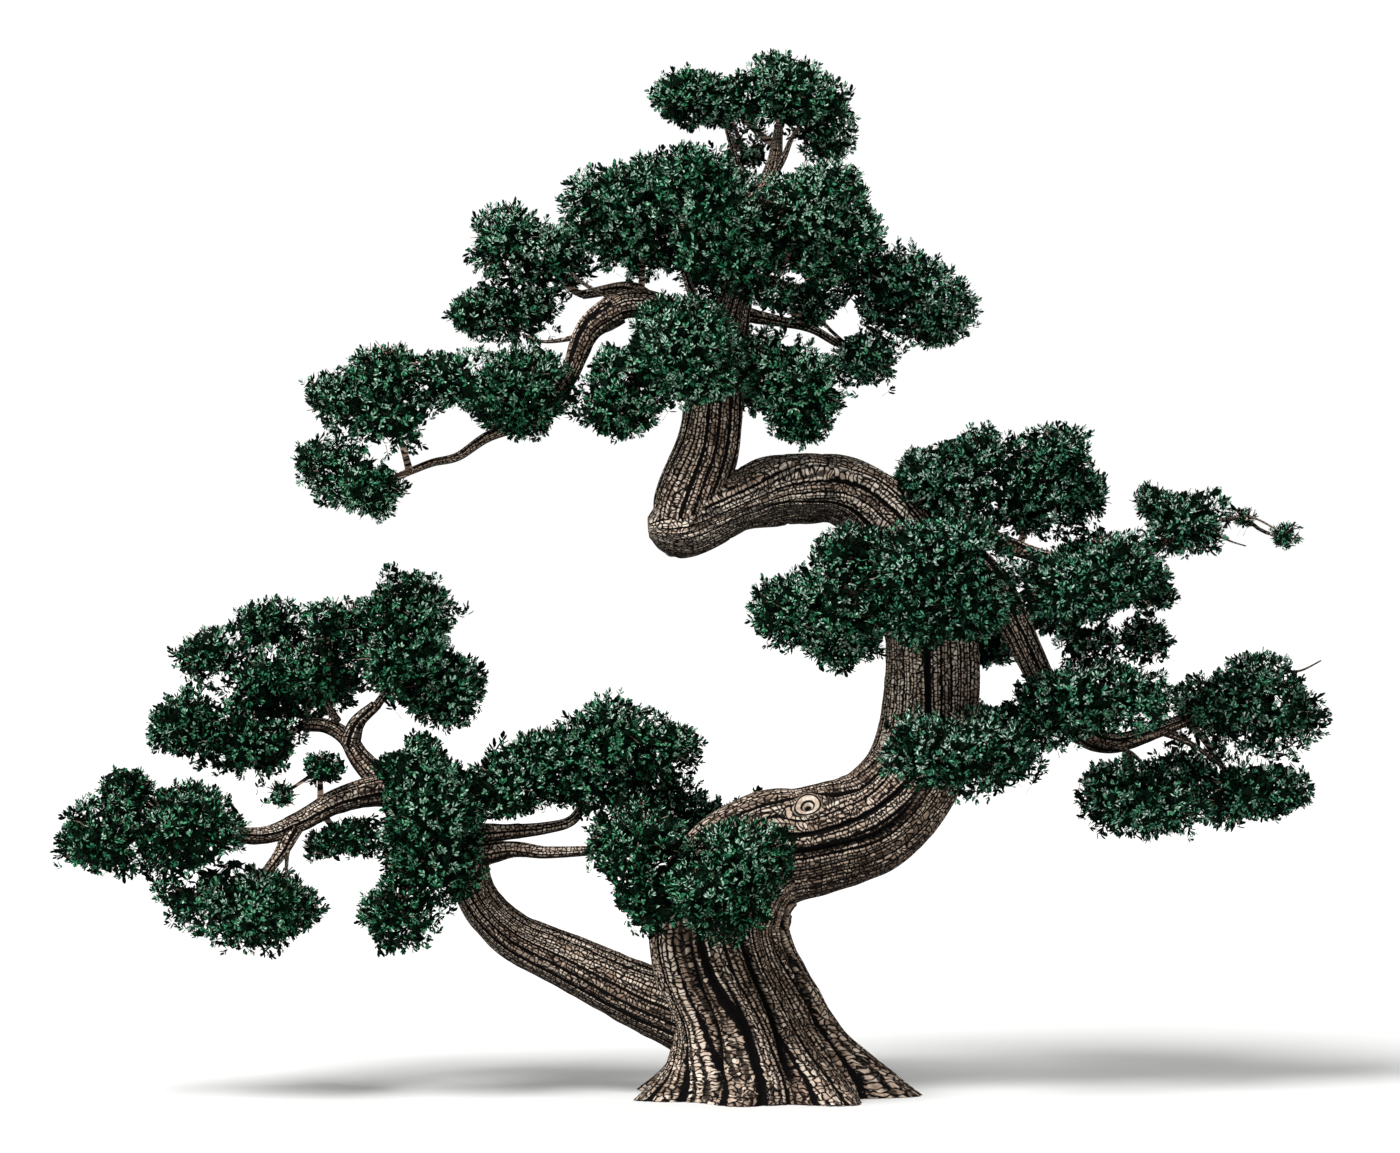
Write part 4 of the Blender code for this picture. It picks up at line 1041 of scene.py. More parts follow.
# %% The masses of foliage
MASSES = {
    # on the low left bough and its arms
    "high_left_pad": ("upper_left_arm", 0.36, [(-4.12, 2.83, 0.43), (-4.62, 2.95, 0.38)]),
    "left_tier": (
        "upper_left_arm",
        0.58,
        [(-3.64, 3.34, 0.45), (-4.06, 3.30, 0.36), (-4.06, 3.72, 0.32), (-4.52, 3.52, 0.30)],
    ),
    "left_top": (
        "upper_left_fork",
        0.06,
        [(-2.94, 3.50, 0.46), (-2.84, 3.90, 0.38), (-2.58, 3.24, 0.40), (-3.42, 3.78, 0.28)],
    ),
    "far_left_pad": ("left_arm", -0.44, [(-4.58, 2.14, 0.50), (-5.24, 2.08, 0.38), (-5.06, 2.46, 0.24)]),
    "low_left_pad": ("hanging_arm", -0.50, [(-4.08, 1.55, 0.45), (-4.54, 1.64, 0.28), (-3.78, 1.55, 0.30)]),
    "tuft_above_arm": ("left_arm", -0.22, [(-3.54, 2.62, 0.21), (-3.84, 2.42, 0.17)]),
    "tuft_below_arm": ("left_arm", -0.06, [(-3.30, 2.08, 0.24), (-3.54, 2.02, 0.18)]),
    "left_middle": (
        "low_left_bough",
        -0.46,
        [(-2.66, 2.30, 0.45), (-2.78, 2.66, 0.34), (-2.64, 1.88, 0.44), (-2.94, 1.49, 0.35)],
    ),
    "left_middle_back": ("low_left_bough", 0.66, [(-2.62, 2.36, 0.44), (-2.72, 1.92, 0.36)]),
    "inner_left_pad": (
        "upper_link",
        0.12,
        [
            (-1.42, 2.56, 0.40),
            (-1.24, 2.89, 0.38),
            (-0.80, 2.80, 0.32),
            (-1.76, 2.68, 0.38),
            (-2.08, 2.46, 0.35),
        ],
    ),
    # round the lower trunk
    "trunk_left_mass": ("lower_link", -0.44, [(-1.02, 2.04, 0.44), (-0.98, 1.62, 0.36)]),
    "trunk_front_mass": ("trunk", -0.88, [(-0.20, 1.96, 0.42), (-0.38, 1.66, 0.42)]),
    "trunk_back_mass": ("trunk", 0.86, [(-0.44, 2.02, 0.46), (-0.90, 2.32, 0.39), (0.04, 2.12, 0.34)]),
    # on the right, half way up
    "middle_left_pad": (
        "trunk",
        -0.30,
        [(0.60, 3.90, 0.44), (0.18, 3.90, 0.36), (0.66, 3.63, 0.29), (0.68, 4.34, 0.32)],
    ),
    "middle_front": (
        "trunk",
        -0.84,
        [(1.14, 4.20, 0.46), (1.56, 4.38, 0.40), (1.56, 3.94, 0.44), (1.14, 3.82, 0.32)],
    ),
    "middle_back": ("trunk", 0.90, [(1.25, 4.26, 0.50), (1.68, 3.90, 0.40), (1.84, 3.58, 0.30)]),
    "middle_top": ("trunk", 0.10, [(1.44, 4.80, 0.42), (1.26, 4.98, 0.29), (1.73, 5.10, 0.34)]),
    "middle_top_right": (
        "right_middle_bough",
        0.24,
        [(2.12, 4.78, 0.42), (2.32, 5.12, 0.36), (2.52, 4.80, 0.33)],
    ),
    "right_middle_front": (
        "right_middle_bough",
        -0.48,
        [(2.74, 4.20, 0.42), (2.36, 4.06, 0.40), (3.06, 4.06, 0.24)],
    ),
    "right_middle_back": ("right_middle_bough", 0.56, [(2.66, 4.18, 0.44), (2.30, 3.94, 0.36)]),
    "right_small_tufts": ("right_bough", -0.12, [(2.54, 3.64, 0.28), (3.02, 3.66, 0.22)]),
    "right_tip_tuft": (
        "right_middle_bough",
        -0.26,
        [(3.34, 4.58, 0.37), (3.06, 4.76, 0.20), (3.82, 4.62, 0.12), (4.12, 4.47, 0.15)],
    ),
    "right_long_pad": ("right_bough", -0.44, [(2.50, 3.19, 0.43), (2.92, 3.20, 0.33), (2.14, 3.06, 0.36)]),
    "right_trunk_front_pad": (
        "trunk",
        -0.78,
        [(1.60, 2.80, 0.42), (1.20, 2.76, 0.34), (1.88, 2.76, 0.29)],
    ),
    "right_trunk_back_pad": ("trunk", 0.88, [(1.62, 2.85, 0.43), (1.90, 2.76, 0.32)]),
    "far_right_pad": ("right_bough_end", 0.40, [(3.64, 3.08, 0.38), (3.96, 3.29, 0.33), (4.16, 3.03, 0.38)]),
    "right_low_pad": ("right_bough_end", -0.12, [(3.14, 2.34, 0.39), (2.80, 2.44, 0.36)]),
    "right_low_far_pad": (
        "right_bough_end",
        0.44,
        [(3.82, 2.43, 0.41), (4.20, 2.42, 0.21), (3.42, 2.58, 0.26)],
    ),
    # the crown
    "top_left": ("trunk", 0.10, [(-0.28, 7.94, 0.31), (-0.64, 8.00, 0.32), (-0.12, 7.56, 0.20)]),
    "top_right": ("trunk", -0.04, [(0.14, 8.06, 0.36), (0.44, 7.88, 0.29), (0.50, 7.62, 0.23)]),
    "crown_left": (
        "left_crown_bough",
        -0.08,
        [(-1.00, 6.88, 0.44), (-1.24, 7.10, 0.40), (-0.90, 7.26, 0.38)],
    ),
    "crown_front": ("trunk", -0.58, [(-0.42, 7.04, 0.44), (-0.54, 7.34, 0.33), (-0.28, 6.72, 0.38)]),
    "crown_back": ("trunk", 0.62, [(-0.26, 7.08, 0.46), (0.22, 6.90, 0.38), (-0.42, 6.68, 0.34)]),
    "crown_right": (
        "trunk",
        -0.34,
        [
            (0.32, 7.04, 0.40),
            (0.50, 7.25, 0.30),
            (0.64, 6.84, 0.36),
            (0.06, 6.42, 0.20),
            (0.40, 6.60, 0.24),
        ],
    ),
    "far_crown_right": ("crown_right_bough", 0.30, [(1.02, 6.48, 0.43), (1.38, 6.27, 0.38)]),
    "crown_low_right": ("crown_low_right_bough", 0.10, [(0.82, 5.90, 0.31), (0.36, 6.32, 0.24)]),
    "crown_low_front": ("trunk", -0.68, [(-0.64, 6.04, 0.46), (-0.46, 5.74, 0.36)]),
    "crown_low_back": ("trunk", 0.68, [(-0.50, 6.02, 0.46), (-0.24, 5.74, 0.38)]),
    "crown_under_left": ("trunk", -0.20, [(-1.02, 5.84, 0.34), (-1.15, 5.54, 0.41)]),
    "crown_under_right": ("trunk", -0.20, [(0.10, 5.84, 0.36), (0.30, 5.62, 0.41), (0.32, 5.36, 0.25)]),
    "left_crown_pad": (
        "left_crown_spur",
        0.30,
        [(-1.68, 6.70, 0.33), (-2.04, 6.84, 0.38), (-1.98, 6.32, 0.36), (-2.36, 6.24, 0.27)],
    ),
    "hanging_pad": (
        "left_crown_arm",
        -0.42,
        [(-1.90, 5.70, 0.40), (-2.22, 5.64, 0.35), (-1.96, 5.46, 0.33)],
    ),
    "hanging_tip_low": ("left_crown_arm", -0.38, [(-3.18, 4.87, 0.37), (-3.50, 5.08, 0.21)]),
    "hanging_tip": (
        "left_crown_arm",
        -0.36,
        [(-2.98, 5.42, 0.37), (-2.98, 5.77, 0.35), (-2.54, 5.74, 0.28), (-3.40, 5.58, 0.31)],
    ),
}
CLUMP_SHAPE = np.array((1.0, 1.25, 0.85))  # width, depth and height against the half width
CLUMP_SHIFT = 0.25  # by turns a clump stands this much in front of or behind the middle of its mass
SHIFT_TURNS = (0, -1, 1)
NEIGHBOUR = 1.6  # clumps further apart than this many times their sizes never meet


class Clump:
    """An egg-shaped part of a mass: its middle, its half sizes, and the planes that it stays behind."""

    def __init__(self, x, y, z, half_width):
        self.middle = np.array((x, y, z))
        self.half = half_width * CLUMP_SHAPE
        self.planes = []

    def holds(self, points, share):
        """Whether each point lies inside the clump, shrunk to this share of its size."""
        return (((points - self.middle) / (self.half * share)) ** 2).sum(axis=1) < 1

    def in_space(self, points, margin=0.0):
        """Whether each point stays behind the planes, and this far from them."""
        kept = np.ones(len(points), bool)
        for normal, offset in self.planes:
            kept &= points @ normal < offset - margin
        return kept


def dividing_plane(clump, other):
    """The plane between two clumps that leaves the widest gap, as its normal and its offset."""
    apart = other.middle - clump.middle
    scaled = unit(apart / (clump.half + other.half) ** 2)
    tries = [unit(apart), scaled, unit(unit(apart) + scaled), *np.eye(3)]
    best_gap = -math.inf
    for normal in tries:
        normal = normal * (1 if normal @ apart >= 0 else -1)
        near = np.linalg.norm(clump.half * normal)
        far = np.linalg.norm(other.half * normal)
        gap = apart @ normal - near - far
        if gap > best_gap:
            best_gap = gap
            best = (normal, normal @ clump.middle + apart @ normal * near / (near + far))
    return best


clumps = {}
for name, (limb, depth, places) in MASSES.items():
    clumps[name] = []
    for i, (x, z, half_width) in enumerate(places):
        shift = CLUMP_SHIFT * half_width * SHIFT_TURNS[i % len(SHIFT_TURNS)]
        clumps[name].append(Clump(x, depth + shift, z, half_width))
pairs = [(name, clump) for name, group in clumps.items() for clump in group]
for i, (name, clump) in enumerate(pairs):
    for other_name, other in pairs[i + 1 :]:
        far = NEIGHBOUR * (max(clump.half) + max(other.half))
        if other_name != name and np.linalg.norm(other.middle - clump.middle) < far:
            normal, offset = dividing_plane(clump, other)
            clump.planes.append((normal, offset))
            other.planes.append((-normal, -offset))
print(len(MASSES), "masses of", len(pairs), "clumps")

# %% [markdown]
# Between the masses the sky shows through in small windows, and they matter as much as the leaves: they
# tell the eye how deep the crown is. Each window is an ellipse that runs from front to back through the
# whole crown, spread like the rays from the eye. No leaf grows in it. Leaves also keep off the limbs.

# %% Windows, and room round the limbs
WINDOWS = [  # x, z, width and height at the middle of the tree
    (-1.62, 1.56, 0.78, 0.60), (-1.38, 1.34, 0.62, 0.34), (-4.12, 2.42, 0.22, 0.34), (-2.57, 5.31, 0.33, 0.33),
    (-3.04, 2.86, 0.34, 0.20), (1.85, 3.28, 0.23, 0.27), (-1.63, 2.07, 0.39, 0.12), (-1.21, 6.10, 0.24, 0.19),
    (-3.74, 2.60, 0.10, 0.22), (2.30, 3.54, 0.16, 0.20), (-2.89, 5.08, 0.25, 0.11), (-4.03, 1.94, 0.17, 0.15),
    (-4.35, 3.28, 0.18, 0.15), (-0.38, 7.62, 0.15, 0.16), (-1.71, 6.06, 0.20, 0.12), (1.87, 4.30, 0.15, 0.15),
    (3.12, 2.79, 0.17, 0.10), (0.21, 6.08, 0.16, 0.12), (-2.31, 5.88, 0.09, 0.18), (-1.19, 6.55, 0.17, 0.09),
    (-1.45, 6.33, 0.20, 0.07), (-0.67, 6.51, 0.09, 0.14), (0.06, 7.55, 0.07, 0.18), (0.64, 5.68, 0.11, 0.11),
    (-0.82, 6.53, 0.11, 0.10), (0.66, 6.25, 0.11, 0.09), (0.35, 6.04, 0.08, 0.11), (-1.61, 6.20, 0.11, 0.07),
    (-4.58, 1.72, 0.08, 0.10), (0.69, 6.15, 0.08, 0.09), (2.56, 3.81, 0.07, 0.10), (2.00, 4.07, 0.08, 0.08),
    (-0.08, 6.25, 0.07, 0.10), (0.48, 5.93, 0.08, 0.09), (-1.91, 6.03, 0.08, 0.09), (2.63, 4.62, 0.06, 0.11),
    (2.30, 3.82, 0.07, 0.09), (0.48, 6.02, 0.07, 0.08), (-3.95, 3.54, 0.07, 0.08), (-4.27, 3.66, 0.08, 0.07),
    (-3.14, 2.30, 0.08, 0.06), (0.08, 6.42, 0.10, 0.05), (-3.11, 5.14, 0.06, 0.08), (-1.39, 6.67, 0.08, 0.06),
    (-3.26, 2.31, 0.09, 0.05), (0.19, 7.61, 0.06, 0.08), (2.83, 3.79, 0.06, 0.07), (-1.36, 6.51, 0.07, 0.07),
    (-0.86, 2.49, 0.06, 0.07), (-0.18, 7.74, 0.06, 0.06), (2.64, 3.79, 0.07, 0.06), (-4.67, 2.78, 0.07, 0.06),
    (-2.11, 6.04, 0.07, 0.05), (3.01, 3.00, 0.07, 0.05), (2.33, 4.60, 0.04, 0.08), (-1.44, 5.68, 0.08, 0.05),
    (3.88, 2.69, 0.06, 0.06), (-1.79, 6.72, 0.06, 0.06), (4.14, 3.15, 0.06, 0.06), (0.49, 7.45, 0.06, 0.06),
    (0.00, 5.70, 0.08, 0.04), (-1.10, 5.77, 0.05, 0.06), (-4.18, 1.93, 0.05, 0.07), (-4.26, 1.93, 0.05, 0.07),
    (0.37, 7.48, 0.04, 0.09), (0.28, 7.56, 0.05, 0.06), (0.20, 6.53, 0.08, 0.04), (3.67, 2.69, 0.04, 0.07),
    (-0.11, 7.63, 0.04, 0.07),
]
LIMB_LINE_STEP = 0.05  # metres between the points that stand for the limbs
OUT_OF_REACH = 1.2  # metres, further than any limb is thick

limb_lines = [trunk_curve(TRUNK_TO_ELBOW, LIMB_LINE_STEP), trunk_curve(TRUNK_ABOVE_ELBOW, LIMB_LINE_STEP)]
limb_lines += [branch_curve(*row, LIMB_LINE_STEP) for row in (BOUGHS | THIN_BRANCHES).values()]
limb_line = np.concatenate(limb_lines)


def in_window(points, edge):
    """Whether each point lies in a window that is made wider by this much on each side."""
    spread = EYE[1] / (EYE[1] - points[:, 1])
    x = EYE[0] + (points[:, 0] - EYE[0]) * spread
    z = EYE[2] + (points[:, 2] - EYE[2]) * spread
    found = np.zeros(len(points), bool)
    for middle_x, middle_z, width, height in WINDOWS:
        found |= ((x - middle_x) / (width / 2 + edge)) ** 2 + ((z - middle_z) / (height / 2 + edge)) ** 2 < 1
    return found


def off_limbs(points, margin):
    """Whether each point is further than the margin from the skin of every limb."""
    box = [points.min(axis=0) - OUT_OF_REACH, points.max(axis=0) + OUT_OF_REACH]
    near = limb_line[((limb_line[:, :3] > box[0]) & (limb_line[:, :3] < box[1])).all(axis=1)]
    if not len(near):
        return np.ones(len(points), bool)
    gaps = np.linalg.norm(points[:, None] - near[None, :, :3], axis=2) - near[:, 3]
    return gaps.min(axis=1) > margin


print(len(WINDOWS), "windows,", len(limb_line), "places along the limbs")

# %% [markdown]
# ## Twigs
#
# The foliage has to hang on something. From the limb a stem runs to the first clump of a mass. Twigs run
# on from clump to clump. In each clump branchlets spread out to its skin and fork before they reach it.
# Each is a thin three-sided rod in a few straight pieces, which is all that anyone sees of it, and all
# the rods are joined in one mesh for each side of the tree.

# %% Rods of three sides
TWIG_SIDES = 3
STEEP = 0.9  # a direction that rises more than this has its side taken from the X axis
GOLDEN_ANGLE = math.pi * (3 - math.sqrt(5))


def square_to(axes):
    """Two directions square to each axis."""
    other = np.where(np.abs(axes[..., 2:]) > STEEP, (1.0, 0, 0), (0, 0, 1.0))
    side = unit(np.cross(axes, other))
    return side, np.cross(axes, side)


def rods(starts, ends, start_radii, end_radii):
    """Points and quads of straight rods."""
    starts, ends = np.atleast_2d(starts), np.atleast_2d(ends)
    side, back = square_to(unit(ends - starts))
    angles = np.arange(TWIG_SIDES) * 2 * np.pi / TWIG_SIDES
    ring = np.cos(angles)[:, None] * side[:, None] + np.sin(angles)[:, None] * back[:, None]
    low = starts[:, None] + ring * np.broadcast_to(start_radii, len(starts))[:, None, None]
    high = ends[:, None] + ring * np.broadcast_to(end_radii, len(starts))[:, None, None]
    points = np.concatenate([low, high], axis=1).reshape(-1, 3)
    step = np.arange(TWIG_SIDES)
    after = (step + 1) % TWIG_SIDES
    quad = np.stack([step, after, after + TWIG_SIDES, step + TWIG_SIDES], axis=-1)
    quads = (np.arange(len(starts))[:, None, None] * 2 * TWIG_SIDES + quad).reshape(-1, 4)
    return points, quads


def chain(start, end, radii, sag, rule, steps):
    """A rod in several pieces that bends a little on its way."""
    share = np.linspace(0, 1, steps + 1)[:, None]
    aside = np.array([rule.uniform(-1, 1) for _axis in range(3)])
    bend = np.sin(share * np.pi) * (aside * sag - (0, 0, sag))
    points = start + (end - start) * share + bend
    radius = radii[0] + (radii[1] - radii[0]) * share[:, 0]
    return rods(points[:-1], points[1:], radius[:-1], radius[1:])


def even_directions(count, turn):
    """Directions spread evenly over a sphere."""
    height = 1 - (2 * np.arange(count) + 1) / count
    flat = np.sqrt(1 - height**2)
    angle = GOLDEN_ANGLE * np.arange(count) + turn
    return np.column_stack([flat * np.cos(angle), flat * np.sin(angle), height])


def joined(parts):
    """Several lists of points and faces as one."""
    shift = 0
    all_points, all_faces = [], []
    for points, faces in parts:
        all_points.append(points)
        all_faces.append(faces + shift)
        shift += len(points)
    return np.concatenate(all_points), np.concatenate(all_faces)


print("one rod has", len(rods(np.zeros(3), np.ones(3), 1.0, 1.0)[1]), "quads")

# %% [markdown]
# Every mass gets its stem, its twigs, and in each clump the branchlets with their forks. They stay a
# little inside the skin, keep out of the windows, and wear the same bark as the boughs.

# %% The twigs of each mass
STEM_RISE = 0.30  # a stem leaves its limb about this far below the clump that it carries
STEM_RADIUS = 0.036
STEM_STEPS = 7
TWIG_RADII = (0.020, 0.014)
TWIG_STEPS = 5
SAG = 0.03  # metres
BRANCHLETS_EACH = 34  # for each square metre that a clump fills, seen from the front, but see the limits
BRANCHLET_LIMITS = (9, 22)
BRANCHLET_RADII = (0.012, 0.006)
BRANCHLET_START = 0.08  # shares of the clump's size at which branchlets start, bend and end
BRANCHLET_ELBOW = 0.5
BRANCHLET_REACH = 0.82
BRANCHLET_DROOP = 0.02  # metres at the bend
BRANCHLET_UPTURN = 0.15
FORKS = 3
FORK_RADII = (0.007, 0.003)
FORK_REACH = 0.88
FORK_TURN = 2.1  # radians
FORK_SPREAD = 0.42
FORK_AXIS = (0.3, 0.2, 1.0)
TWIG_MARGIN = 0.02  # metres to the windows, the limbs and the next mass
FIRST_TURN = 6  # radians, the most by which a clump's first direction is turned
TWIG_SPLIT = -0.2  # x, where the left piece of twigs ends and the right one begins


def limb_route(limb):
    """The outer part of a limb's line, where a stem may leave it."""
    if limb == "trunk":
        low = trunk_curve(TRUNK_TO_ELBOW[2:-1], LIMB_LINE_STEP)
        return np.concatenate([low, trunk_curve(TRUNK_ABOVE_ELBOW[2:], LIMB_LINE_STEP)])
    route = branch_curve(*BOUGHS[limb], LIMB_LINE_STEP)
    return route[len(route) // 5 :]


def twigs_of(name):
    """Points and quads of the stem, the twigs and the branchlets of one mass."""
    rule = random.Random(zlib.crc32(name.encode()))
    group = clumps[name]
    route = limb_route(MASSES[name][0])[:, :3]
    target = group[0].middle - (0, 0, STEM_RISE)
    foot = route[np.linalg.norm(route - target, axis=1).argmin()]
    parts = [chain(foot, group[0].middle, (STEM_RADIUS, TWIG_RADII[0]), SAG, rule, STEM_STEPS)]
    for i, clump in enumerate(group[1:], 1):
        before = min(group[:i], key=lambda other: np.linalg.norm(other.middle - clump.middle))
        parts.append(chain(before.middle, clump.middle, TWIG_RADII, SAG, rule, TWIG_STEPS))
    for clump in group:
        filled = math.pi * clump.half[0] * clump.half[2]
        count = int(np.clip(BRANCHLETS_EACH * filled, *BRANCHLET_LIMITS))
        ways = unit(even_directions(count, rule.uniform(0, FIRST_TURN)) + (0, 0, BRANCHLET_UPTURN))
        starts = clump.middle + ways * clump.half * BRANCHLET_START
        elbows = clump.middle + ways * clump.half * BRANCHLET_ELBOW - (0, 0, BRANCHLET_DROOP)
        tips = clump.middle + ways * clump.half * BRANCHLET_REACH
        kept = clump.in_space(tips, TWIG_MARGIN) & off_limbs(tips, TWIG_MARGIN)
        kept &= ~in_window(tips, TWIG_MARGIN)
        starts, elbows, tips, ways = starts[kept], elbows[kept], tips[kept], ways[kept]
        if not len(tips):
            continue
        middle_radius = sum(BRANCHLET_RADII) / 2
        parts.append(rods(starts, elbows, BRANCHLET_RADII[0], middle_radius))
        parts.append(rods(elbows, tips, middle_radius, BRANCHLET_RADII[1]))
        for fork in range(FORKS):
            angle = fork * FORK_TURN + np.arange(len(tips))
            side = unit(np.cross(ways, FORK_AXIS))
            out = side * np.cos(angle)[:, None] + np.cross(ways, side) * np.sin(angle)[:, None]
            fork_tips = clump.middle + unit(ways + FORK_SPREAD * out) * clump.half * FORK_REACH
            clear = ~in_window(fork_tips, TWIG_MARGIN)
            if clear.any():
                parts.append(rods(elbows[clear], fork_tips[clear], *FORK_RADII))
    return joined(parts)


for name, on_left in (("twigs_left", True), ("twigs_right", False)):
    masses = [mass for mass, group in clumps.items() if (group[0].middle[0] < TWIG_SPLIT) == on_left]
    points, quads = joined([twigs_of(mass) for mass in masses])
    mesh = bpy.data.meshes.new(name)
    mesh.from_pydata(points.tolist(), [], quads.tolist())
    grain = mesh.attributes.new("grain", "FLOAT_VECTOR", "POINT")
    grain.data.foreach_set("vector", points.astype(np.float32).ravel())
    for key, value in (("turn", 0.5), ("knot", NO_KNOT)):
        values = np.full(len(points), value, np.float32)
        mesh.attributes.new(key, "FLOAT", "POINT").data.foreach_set("value", values)
    mesh.materials.append(BARK)
    twigs = bpy.data.objects.new(name, mesh)
    scene.collection.objects.link(twigs)
    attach(twigs, "root")
    print(name, 2 * len(quads), "triangles")

# %% [markdown]
# ## Sprays of leaves
#
# A cedar's foliage is made of short sprays: a little stalk with blunt fingers round it, each finger a
# shoot clothed in scale leaves. A finger here is two thin blades. The lower one is dark, because the
# scales at its edges turn away from the light, and it is folded along the middle. The upper one is
# narrower and paler, and lies on the fold. Seen from any side, each finger keeps a dark margin that parts
# it from the next, and both blades have one plain colour. The fingers stand round the stalk, turned by
# the golden angle so that none hides another. They are larger than life, because the real tree has far
# more of them than a mesh can carry.
#
# The sprays lie in layers, as on the tree. The outer layer is lit and full. A middle layer shows between
# its sprays, where a finger is one plain blade, in darker greens that are painted shade. Inside, broad
# near-black blades close the view through the clump, as dead shoots and shade do, and their colour is
# painted shade.

# %% Fingers, stalks and blades
DARK_OUTLINE = np.array([(0.0, 0.0), (0.30, 0.85), (0.74, 0.90), (1.0, 0.0), (0.74, -0.90), (0.30, -0.85)])
DARK_FACES = np.array([(0, 1, 2, 3), (3, 4, 5, 0)])
PALE_OUTLINE = np.array([(0.05, 0.0), (0.56, 0.84), (0.93, 0.0), (0.56, -0.84)])
PLAIN_OUTLINE = np.array([(0.0, 0.0), (0.60, 1.0), (1.0, 0.0), (0.60, -1.0)])
PLAIN_FACES = np.array([(0, 1, 2, 3)])
FOLD = 0.35  # how far the edges of a dark blade lie below its middle, against half the width
PALE_LIFT = 0.14  # how far the pale blade lies above the dark one, against half the width
STALK_HALF_WIDTH = 0.0035
STALK_ENDS = (0.6, 0.55)  # how far the stalk runs back and out from the lowest finger, against the spray
FINGER_LENGTH = 0.50  # against the size of its spray
FINGER_WIDTH = 0.200
FINGER_SPREAD = 0.42  # the part of the stalk that carries fingers
LEAN = 1.05  # radians between the lowest finger and the stalk
TIP_TILT = 0.25  # the topmost finger leans this share of what the lowest does
TIP_LENGTH = 0.75  # and it is this much as long
ANGLE_DISORDER = 0.35  # radians
LENGTH_DISORDER = 0.14


def fingers_of(roots, axes, sizes, dice, count):
    """The foot, the way, the side, the upper side, the length and half the width of each finger."""
    side, back = (part[:, None] for part in square_to(axes))
    stalk = axes[:, None]
    share = np.arange(count) / (count - 1)
    angle = dice.uniform(0, 2 * math.pi, (len(roots), 1)) + np.arange(count) * GOLDEN_ANGLE
    angle = (angle + dice.normal(0, ANGLE_DISORDER, angle.shape))[..., None]
    out = side * np.cos(angle) + back * np.sin(angle)
    tilt = (LEAN * (1 - (1 - TIP_TILT) * share))[:, None]
    way = stalk * np.cos(tilt) + out * np.sin(tilt)
    across = np.cross(stalk, out)
    up = np.cross(across, way)
    up *= np.sign((up * stalk).sum(axis=-1, keepdims=True) + 1e-9)
    size = sizes[:, None]
    foot = roots[:, None] + stalk * (size * FINGER_SPREAD * share)[..., None]
    length = size * FINGER_LENGTH * (1 - (1 - TIP_LENGTH) * share)
    length = length * (1 + dice.normal(0, LENGTH_DISORDER, length.shape))
    half = np.broadcast_to(size * FINGER_WIDTH / 2, length.shape)
    return [part.reshape(-1, 3) for part in (foot, way, across, up)] + [length.ravel(), half.ravel()]


def blades(fingers, outline, faces_of, lift=0.0):
    """Points and faces of one blade on each finger."""
    foot, way, across, up, length, half = fingers
    along, off = outline[:, 0], outline[:, 1]
    points = (
        foot[:, None]
        + way[:, None] * (length[:, None] * along)[..., None]
        + across[:, None] * (half[:, None] * off)[..., None]
        + up[:, None] * (half[:, None] * (lift - FOLD * np.abs(off)))[..., None]
    )
    faces = (np.arange(len(foot)) * len(outline))[:, None, None] + faces_of
    return points.reshape(-1, 3), faces.reshape(-1, 4)


def stalks(roots, axes, sizes):
    """One narrow blade down the middle of each spray, and back towards the twig."""
    side, _back = square_to(axes)
    low = roots - axes * (STALK_ENDS[0] * sizes)[:, None]
    high = roots + axes * (STALK_ENDS[1] * sizes)[:, None]
    points = np.stack([low - side * STALK_HALF_WIDTH, low + side * STALK_HALF_WIDTH, high], axis=1)
    faces = (np.arange(len(roots)) * 3)[:, None] + np.array((0, 1, 2, 2))
    return points.reshape(-1, 3), faces


print("one finger has", len(DARK_FACES) + len(PLAIN_FACES), "faces")

# %% [markdown]
# The sprays of a clump stand on its skin, and the skins of neighbouring clumps flow into one, so that a
# mass is one lobed body and not a bunch of balls. Noise pushes the skin out into lobes, and a few sprays
# stand out further than the rest and feather the outline. A spray with hardly another one near it would
# seem to float, and is left out. The first number for each layer is how much skin one spray covers.

# %% Where the sprays stand
SPRAY_CELL = 0.0064  # square metres of skin for each spray of the outer layer
MIDDLE_CELL = 0.0105
SHADE_CELL = 0.0042
OUTER_DEPTHS = (0.000, 0.042)  # metres between the skin and the tips of a layer, least and most
MIDDLE_DEPTHS = (0.055, 0.095)
SHADE_DEPTHS = ((0.125, 0.150), (0.200, 0.260))
FULL_CLUMP = 0.40  # in narrower clumps the layers lie less deep
LEAST_SHALLOW = 0.5  # but never less than this share of their depth
FEWEST_SPRAYS = 6
DIRECTION_DISORDER = 0.055
LEAST_REACH = 0.20  # no layer lies nearer to the middle of its clump, against the clump's size
OVER_BORDER = 0.08  # how far the foliage of two masses may mix where they meet
OVER_BOX = 0.05  # how far tips may stand out in front of the solids and behind them
LUMPS_OUT = ((0.30, 0.105), (0.13, 0.090))  # the size of the lobes and how far they stand out, in metres
MERGE = 3.0  # the smaller this is, the more the skins of neighbouring clumps flow together
MERGE_RANGE = (0.95, 1.42)  # the skin lies between these shares of the clump's size
HALVINGS = 7  # steps in the search for the skin
LONG_SPRAYS = 0.12  # how far the longest sprays stand out, against the clump's size
LONG_RARITY = 6  # the higher this power, the fewer sprays are long
LOBE_SEED = 77
AREA_POWER = 1.6  # the power in Thomsen's formula for the skin of an ellipsoid
SKINS_MEET = 1.2  # clumps further apart than this many times their sizes don't flow together
HIDDEN_SHARE = 0.86  # a spray this deep inside another clump isn't made
COMPANY_REACH = 0.15  # metres to the sprays that keep a spray company
COMPANY_SHARE = 0.12  # with less than this share of the usual company a spray isn't made


